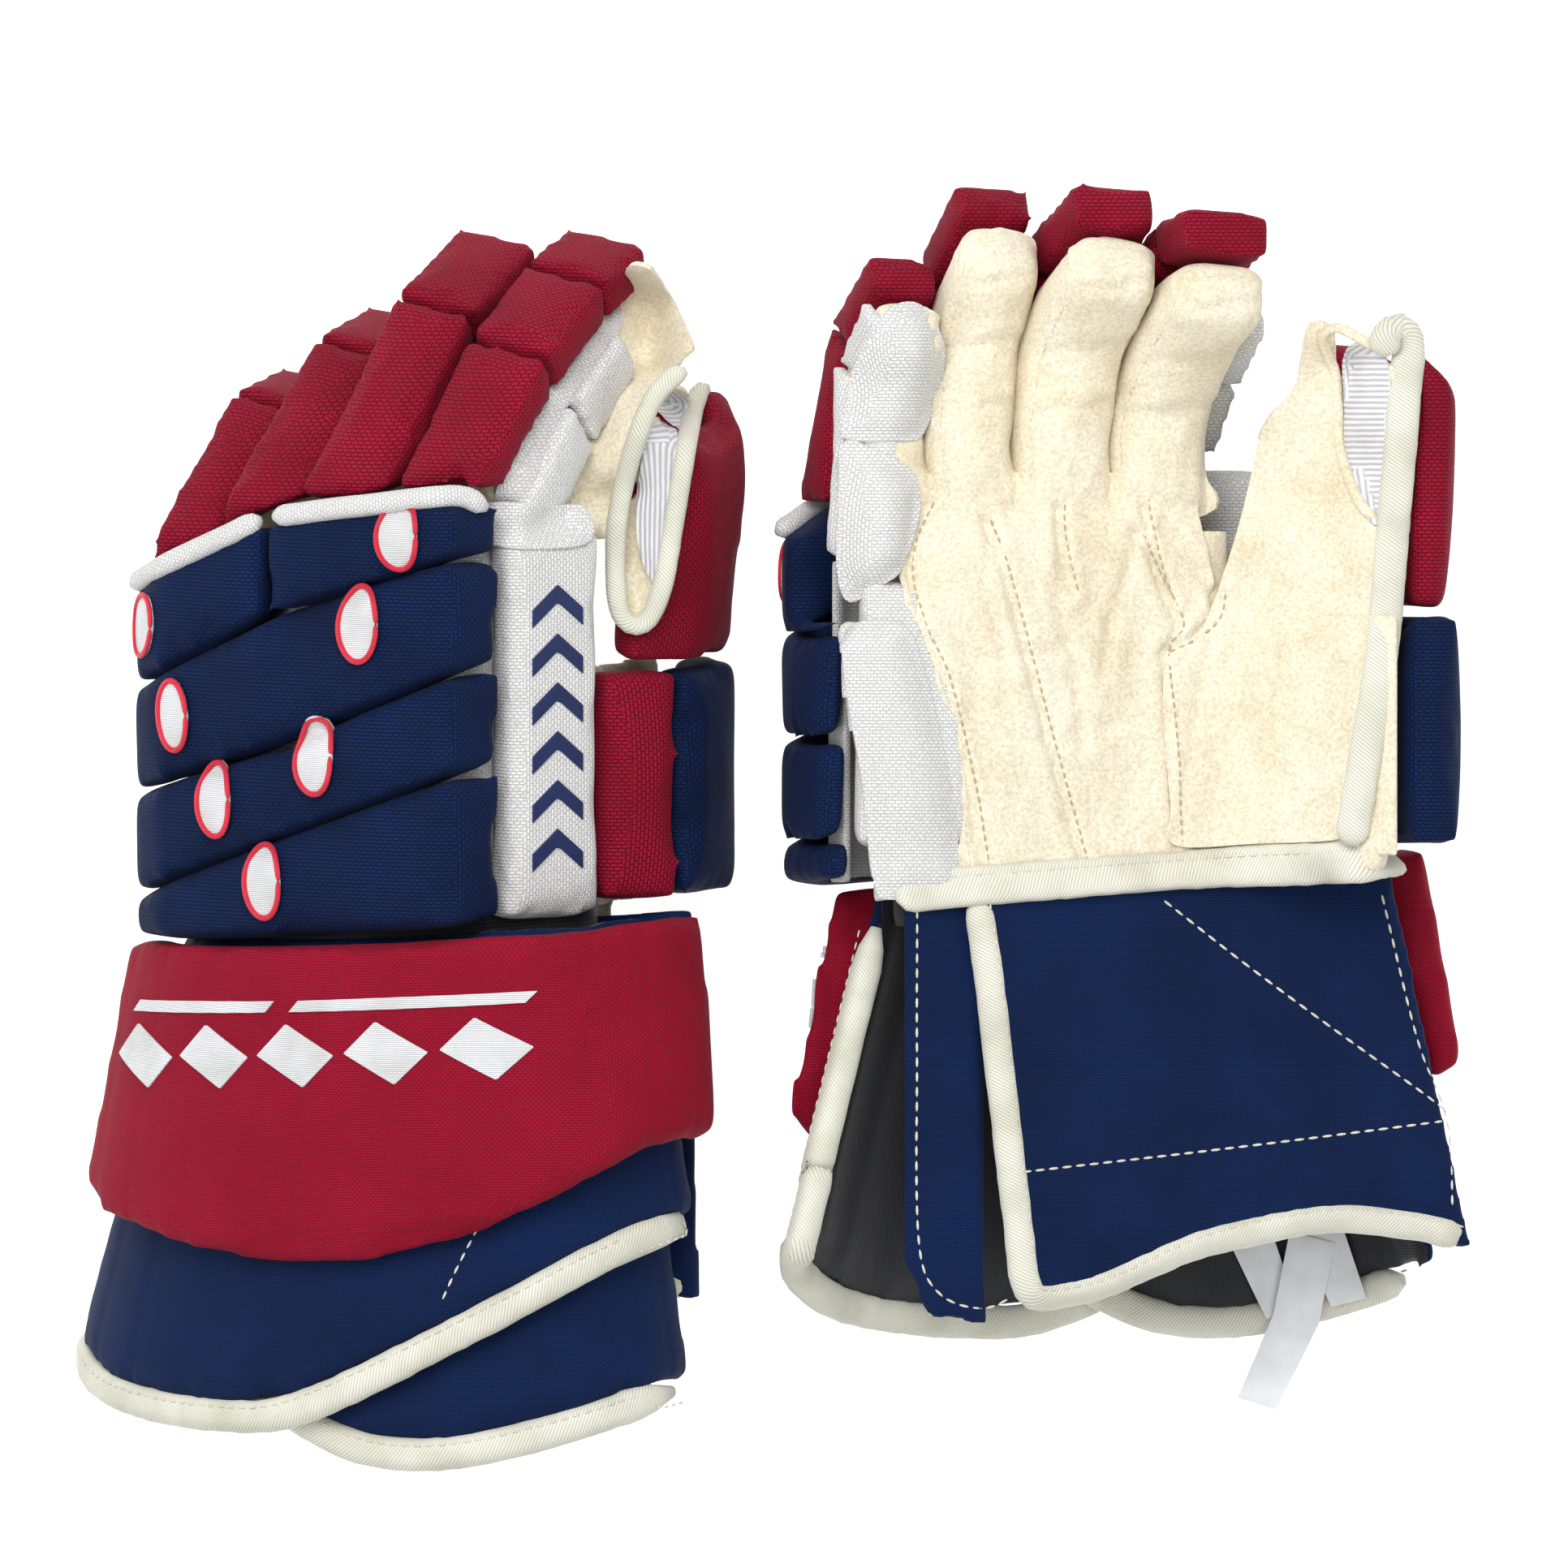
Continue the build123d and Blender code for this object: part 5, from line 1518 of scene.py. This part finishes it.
for name, outline in PINKY_PADS.items():
    pad = panel(f"right_pinky_edge_pad_{name}", FRAMES["right"], -1, outline, trees, lift=2.2,
                thickness=2.2, spacing=1.5, rounds=40, relief=pillow(outline, 4.4, 5.0),
                floor=-4.0)
    dressed(pad, WHITE_MESH, "right_pinky_finger")

# %% [markdown]
# ## The thumbs
# A thumb is a suede stall that opens at its tip and along one side, where a white rib-knit
# sleeve shows, with a long tape along the opening. Here the opening is pressed into the pieces
# below, the knit is laid in it, and the tape goes along it. The right stall's face runs down as a
# web to the palm. On the left glove a leather gusset, a mesh flange and a mesh crossing join the
# index finger to the hand. These lines are in the row frame, in millimetres, as the gloves lie.

# %% Thumb helpers
TABLE = Matrix.Diagonal((MM, MM, MM, 1.0))


def pressed(obj, outline, depth, soft):
    """Presses the upper side of a piece down inside an outline."""
    ring = closed(outline)
    points = coordinates(obj.data)
    for i, up in enumerate(read(obj.data.vertices, "normal", width=3)[:, 2]):
        u, v = points[i][:2] / MM
        if up > -0.1 and within(ring[:-1], Vector((u, v))):
            points[i][2] -= depth * MM * min(1.0, distance_to(ring, u, v) / soft)
    return moved_to(obj, points)


def table_bar(name, line, trees, lift, width, thickness, **shape):
    """A bar laid on the highest of what is below its width."""
    plan = smooth_line([(x, y, 0.0) for x, y in line], 2.0)
    heights = []
    for a, p, b in zip([plan[0]] + plan, plan, plan[1:] + [plan[-1]]):
        across = Vector((a.y - b.y, b.x - a.x, 0.0)).normalized() * width * 0.38
        found = [hit(trees, TABLE, q.x, q.y, 1) for q in (p - across, p, p + across)]
        heights.append(max((f[0].z for f in found if f), default=None))
    heights = gaps_filled(heights)
    for _ in range(4):
        heights = [(heights[max(k - 1, 0)] + 2 * h + heights[min(k + 1, len(heights) - 1)]) / 4
                   for k, h in enumerate(heights)]
    spots = [Vector((p.x * MM, p.y * MM, h + lift * MM)) for p, h in zip(plan, heights)]
    return bar(name, spots, [Vector((0, 0, 1))] * len(spots), width, thickness, **shape)


# %% The right thumb, palm up
RIGHT_FACE = [(153.3, 144.4), (150.8, 138.6), (150.1, 131.7), (147.8, 124.7), (142.7, 118.9),
              (138.3, 110.8), (136.3, 101.5), (132.9, 87.6), (129.4, 76.0), (125.9, 65.6),
              (122.0, 56.3), (118.0, 50.0), (112.5, 46.3), (110.8, 40.0), (111.4, 25.0),
              (113.0, 5.0), (114.3, -5.5), (138.0, -5.0), (162.0, -3.5), (165.0, 4.0),
              (168.4, 20.3), (171.6, 38.9), (173.9, 57.4), (174.9, 73.7), (174.2, 83.0),
              (170.5, 86.4), (167.3, 90.4), (163.8, 97.8), (160.8, 107.1), (160.1, 120.1),
              (160.3, 131.7), (159.5, 141.5)]
RIGHT_KNIT = [(163.2, 134.0), (166.4, 137.5), (172.6, 136.3), (175.6, 127.0), (174.8, 106.2),
              (173.4, 87.6), (169.7, 87.4), (166.5, 94.6), (163.3, 103.8), (162.4, 117.8)]
RIGHT_TAPE = [(173.0, 134.5), (175.4, 140.6), (179.0, 141.8), (181.0, 136.3), (180.0, 124.7),
              (178.9, 110.8), (177.2, 92.2), (175.6, 73.7), (174.2, 57.4), (171.9, 38.9),
              (168.7, 20.3), (165.9, 4.1), (164.4, -5.5)]
RIGHT_TIP = [(172.2, 88.0), (168.5, 90.5), (164.6, 98.0), (161.6, 108.0), (160.8, 120.0),
             (160.2, 129.0), (157.4, 136.0), (156.6, 140.4), (160.6, 142.4), (167.4, 139.2),
             (173.0, 136.3)]


WEB_FOLDS = [   # line, depth and width
    ([(150, 112), (140, 88), (134, 66)], 0.8, 3.0),
    ([(160, 96), (150, 76), (146, 58)], 0.6, 3.5),
]
web_edge = tucked([p for p in RIGHT_FACE if p[0] < 130 and p[1] < 70], 1.6, 1.6)


def web_relief(u, v):
    rise = creases(u + 40.0, v, 0.7) + web_edge(u, v)
    for line, depth, wide in WEB_FOLDS:
        far = distance_to(line, u, v)
        rise += depth * (0.6 * bell(far - wide, wide) - bell(far, 1.8))
    return rise


stall = pressed(covers["right_thumb_sleeve"], RIGHT_KNIT, 4.0, 3.0)
knit = panel("right_thumb_knit", TABLE, 1, RIGHT_KNIT, surface(stall), lift=1.6, thickness=1.2,
             spacing=1.5, rounds=4)
dressed(knit, RIB_KNIT, "right_thumb")
thumb_face = panel("right_thumb_face", TABLE, 1, RIGHT_FACE, surface(stall, palms["right"]),
                   lift=1.6, thickness=1.6, spacing=1.6, rounds=25, relief=web_relief)
measured_sheet(dressed(thumb_face, SUEDE, None))
tip = table_bar("right_thumb_tip_fold", RIGHT_TIP, surface(thumb_face, knit), 0.0, 3.0, 2.6,
                power=2.3)
dressed(tip, SUEDE, "right_thumb")
rim_trees = surface(thumb_face, knit, palms["right"], covers["right_thumb_pad"],
                    covers["right_thumb_outer_roll"])
tape = table_bar("right_thumb_tape", RIGHT_TAPE, rim_trees, 0.6, 9.6, 4.8, ripple=0.05)
dressed(tape, TWILL, None)
for piece in (thumb_face, tape):
    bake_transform(piece)

# %% The left thumb, palm down
LEFT_GUSSET = [(-42.5, 159.5), (-38.3, 160.0), (-34.6, 157.7), (-28.5, 147.9), (-23.5, 138.0),
               (-26.7, 134.5), (-29.2, 130.8), (-34.6, 126.9), (-39.2, 117.9), (-42.7, 109.6),
               (-45.2, 96.9), (-46.0, 84.0), (-52.0, 82.0), (-60.0, 84.0), (-58.0, 96.0),
               (-56.0, 106.0), (-54.0, 117.0), (-50.0, 126.0), (-47.0, 136.0), (-45.0, 145.6),
               (-44.1, 151.4)]
LEFT_FLANGE = [(-48.7, 151.9), (-45.2, 149.1), (-43.7, 143.3), (-54.2, 126.0), (-61.2, 118.0),
               (-73.1, 89.9), (-80.1, 90.5), (-78.0, 101.5), (-71.0, 117.8), (-61.5, 129.4)]
LEFT_CROSSING = [(-84, 92.0), (-64, 91.5), (-54.0, 91.0), (-54.0, 80.5), (-82, 80.5)]
for name, outline, cloth, lift, rounds, under in (
        ("gusset", LEFT_GUSSET, SUEDE, 0.9, 30, ("index_sleeve", "thumb_sleeve", "thumb_pad")),
        ("flange", LEFT_FLANGE, WHITE_MESH, 1.6, 8, ("index_sleeve", "index_side_pads")),
        ("crossing", LEFT_CROSSING, WHITE_MESH, 1.6, 8,
         ("index_side_roll", "index_side_pads"))):
    piece = panel(f"left_index_{name}", TABLE, 1, outline,
                  surface(*(covers[f"left_{part}"] for part in under)), lift=lift,
                  thickness=1.4, spacing=1.4, rounds=rounds,
                  relief=lambda u, v: 1.3 * creases(u * 1.4, v, 1.0))
    measured_sheet(dressed(piece, cloth, None))
    across_knuckle(piece, "left", "index")
LEFT_TAPE = [(-25.3, 130.2), (-29.2, 128.3), (-34.6, 122.4), (-39.2, 112.0), (-42.9, 99.2),
             (-45.4, 85.3), (-45.6, 70.2), (-44.1, 60.8), (-39.9, 57.3), (-35.5, 60.3),
             (-31.8, 70.2), (-29.2, 85.3), (-26.5, 101.5), (-23.7, 117.8), (-21.4, 124.2),
             (-18.8, 125.4)]
LEFT_HOLE = [(-29.5, 124.9), (-24.8, 121.4), (-27.0, 106.2), (-29.6, 87.6), (-32.2, 72.7),
             (-36.0, 61.0), (-40.0, 58.5), (-43.6, 62.0), (-45.0, 76.0), (-43.5, 92.0),
             (-40.0, 105.0), (-35.1, 117.4)]
LEFT_KNIT = [(-29.5, 124.9), (-24.8, 121.4), (-27.0, 106.2), (-29.6, 87.6), (-32.2, 73.7),
             (-35.0, 70.0), (-38.5, 77.0), (-40.0, 89.0), (-38.5, 103.0), (-35.1, 117.4)]
for part in ("thumb_pad", "thumb_sleeve"):
    pressed(covers[f"left_{part}"], LEFT_HOLE, 9.5, 2.5)
below = surface(covers["left_thumb_pad"], covers["left_thumb_sleeve"])
inside = panel("left_thumb_inside", TABLE, 1, LEFT_HOLE, below, lift=1.8, thickness=1.0,
               spacing=1.2, rounds=3)
dressed(inside, SUEDE, "left_thumb")
knit = panel("left_thumb_knit", TABLE, 1, LEFT_KNIT, surface(inside), lift=2.4, thickness=1.2,
             spacing=1.4, rounds=10, relief=pillow(LEFT_KNIT, 2.0, 3.0))
dressed(knit, RIB_KNIT, "left_thumb")
tape = table_bar("left_thumb_tape", LEFT_TAPE, surface(covers["left_thumb_pad"]), 3.2, 5.8, 5.0,
                 ripple=0.05)
dressed(tape, TWILL, "left_thumb")
for side in SIDES:
    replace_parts(covers[f"{side}_thumb_pad"], f"{side}_thumb_guard", f"{side}_thumb_binding")

# %% Rows on the palms
# The palm rows use the darker cream thread, whose colour is painted shade for the stitch holes.
for side in SIDES:
    trees = surface(palms[side], *([thumb_face] if side == "right" else []))
    for line in PALM_SEAMS:
        sew_row(f"{side}_hand", [(u + 1.9, v) for u, v in line], trees, lift=0.15, pitch=2.8,
                length=2.0, width=0.7, thread=STITCH_SHADE_THREAD)

# %% [markdown]
# ## Labels
# Two blank woven labels and a nylon size strip are sewn inside the right cuff, under the palm
# flap's hem, and lie over the hem behind. The left cuff's strip lies behind its side flap's hem.

# %% Labels
LABELS = {
    "right_label_1": [(126.4, -111.9), (140.4, -111.9), (149.6, -138.0), (140.4, -141.0)],
    "right_label_2": [(147.3, -111.9), (161.2, -111.9), (169.0, -135.0), (158.9, -137.5)],
    "right_size_strip": [(147.0, -116.0), (160.0, -119.0), (155.4, -142.3), (143.1, -166.9),
                         (132.2, -163.4), (142.4, -139.5)],
    "left_size_strip": [(-56.0, -152.0), (-44.0, -149.0), (-45.5, -160.0), (-49.2, -173.5),
                        (-53.0, -168.0)],
}
for number, (name, outline) in enumerate(LABELS.items()):
    side = side_of(name)
    below = [*cuff_tapes[side], covers[f"{side}_cuff_side_flap"]]
    if side == "right":
        below.append(covers["right_cuff_back_flap"])
    label = panel(name, TABLE, 1, outline, surface(*below),
                  lift=1.0 + 0.7 * number if side == "right" else -9.5, thickness=0.35,
                  spacing=1.2, rounds=60, smooth=False)
    dressed(label, LABEL, f"{side}_cuff")
    measured_sheet(label)

# %% Stitches last, when every row is known
sewn_pieces()
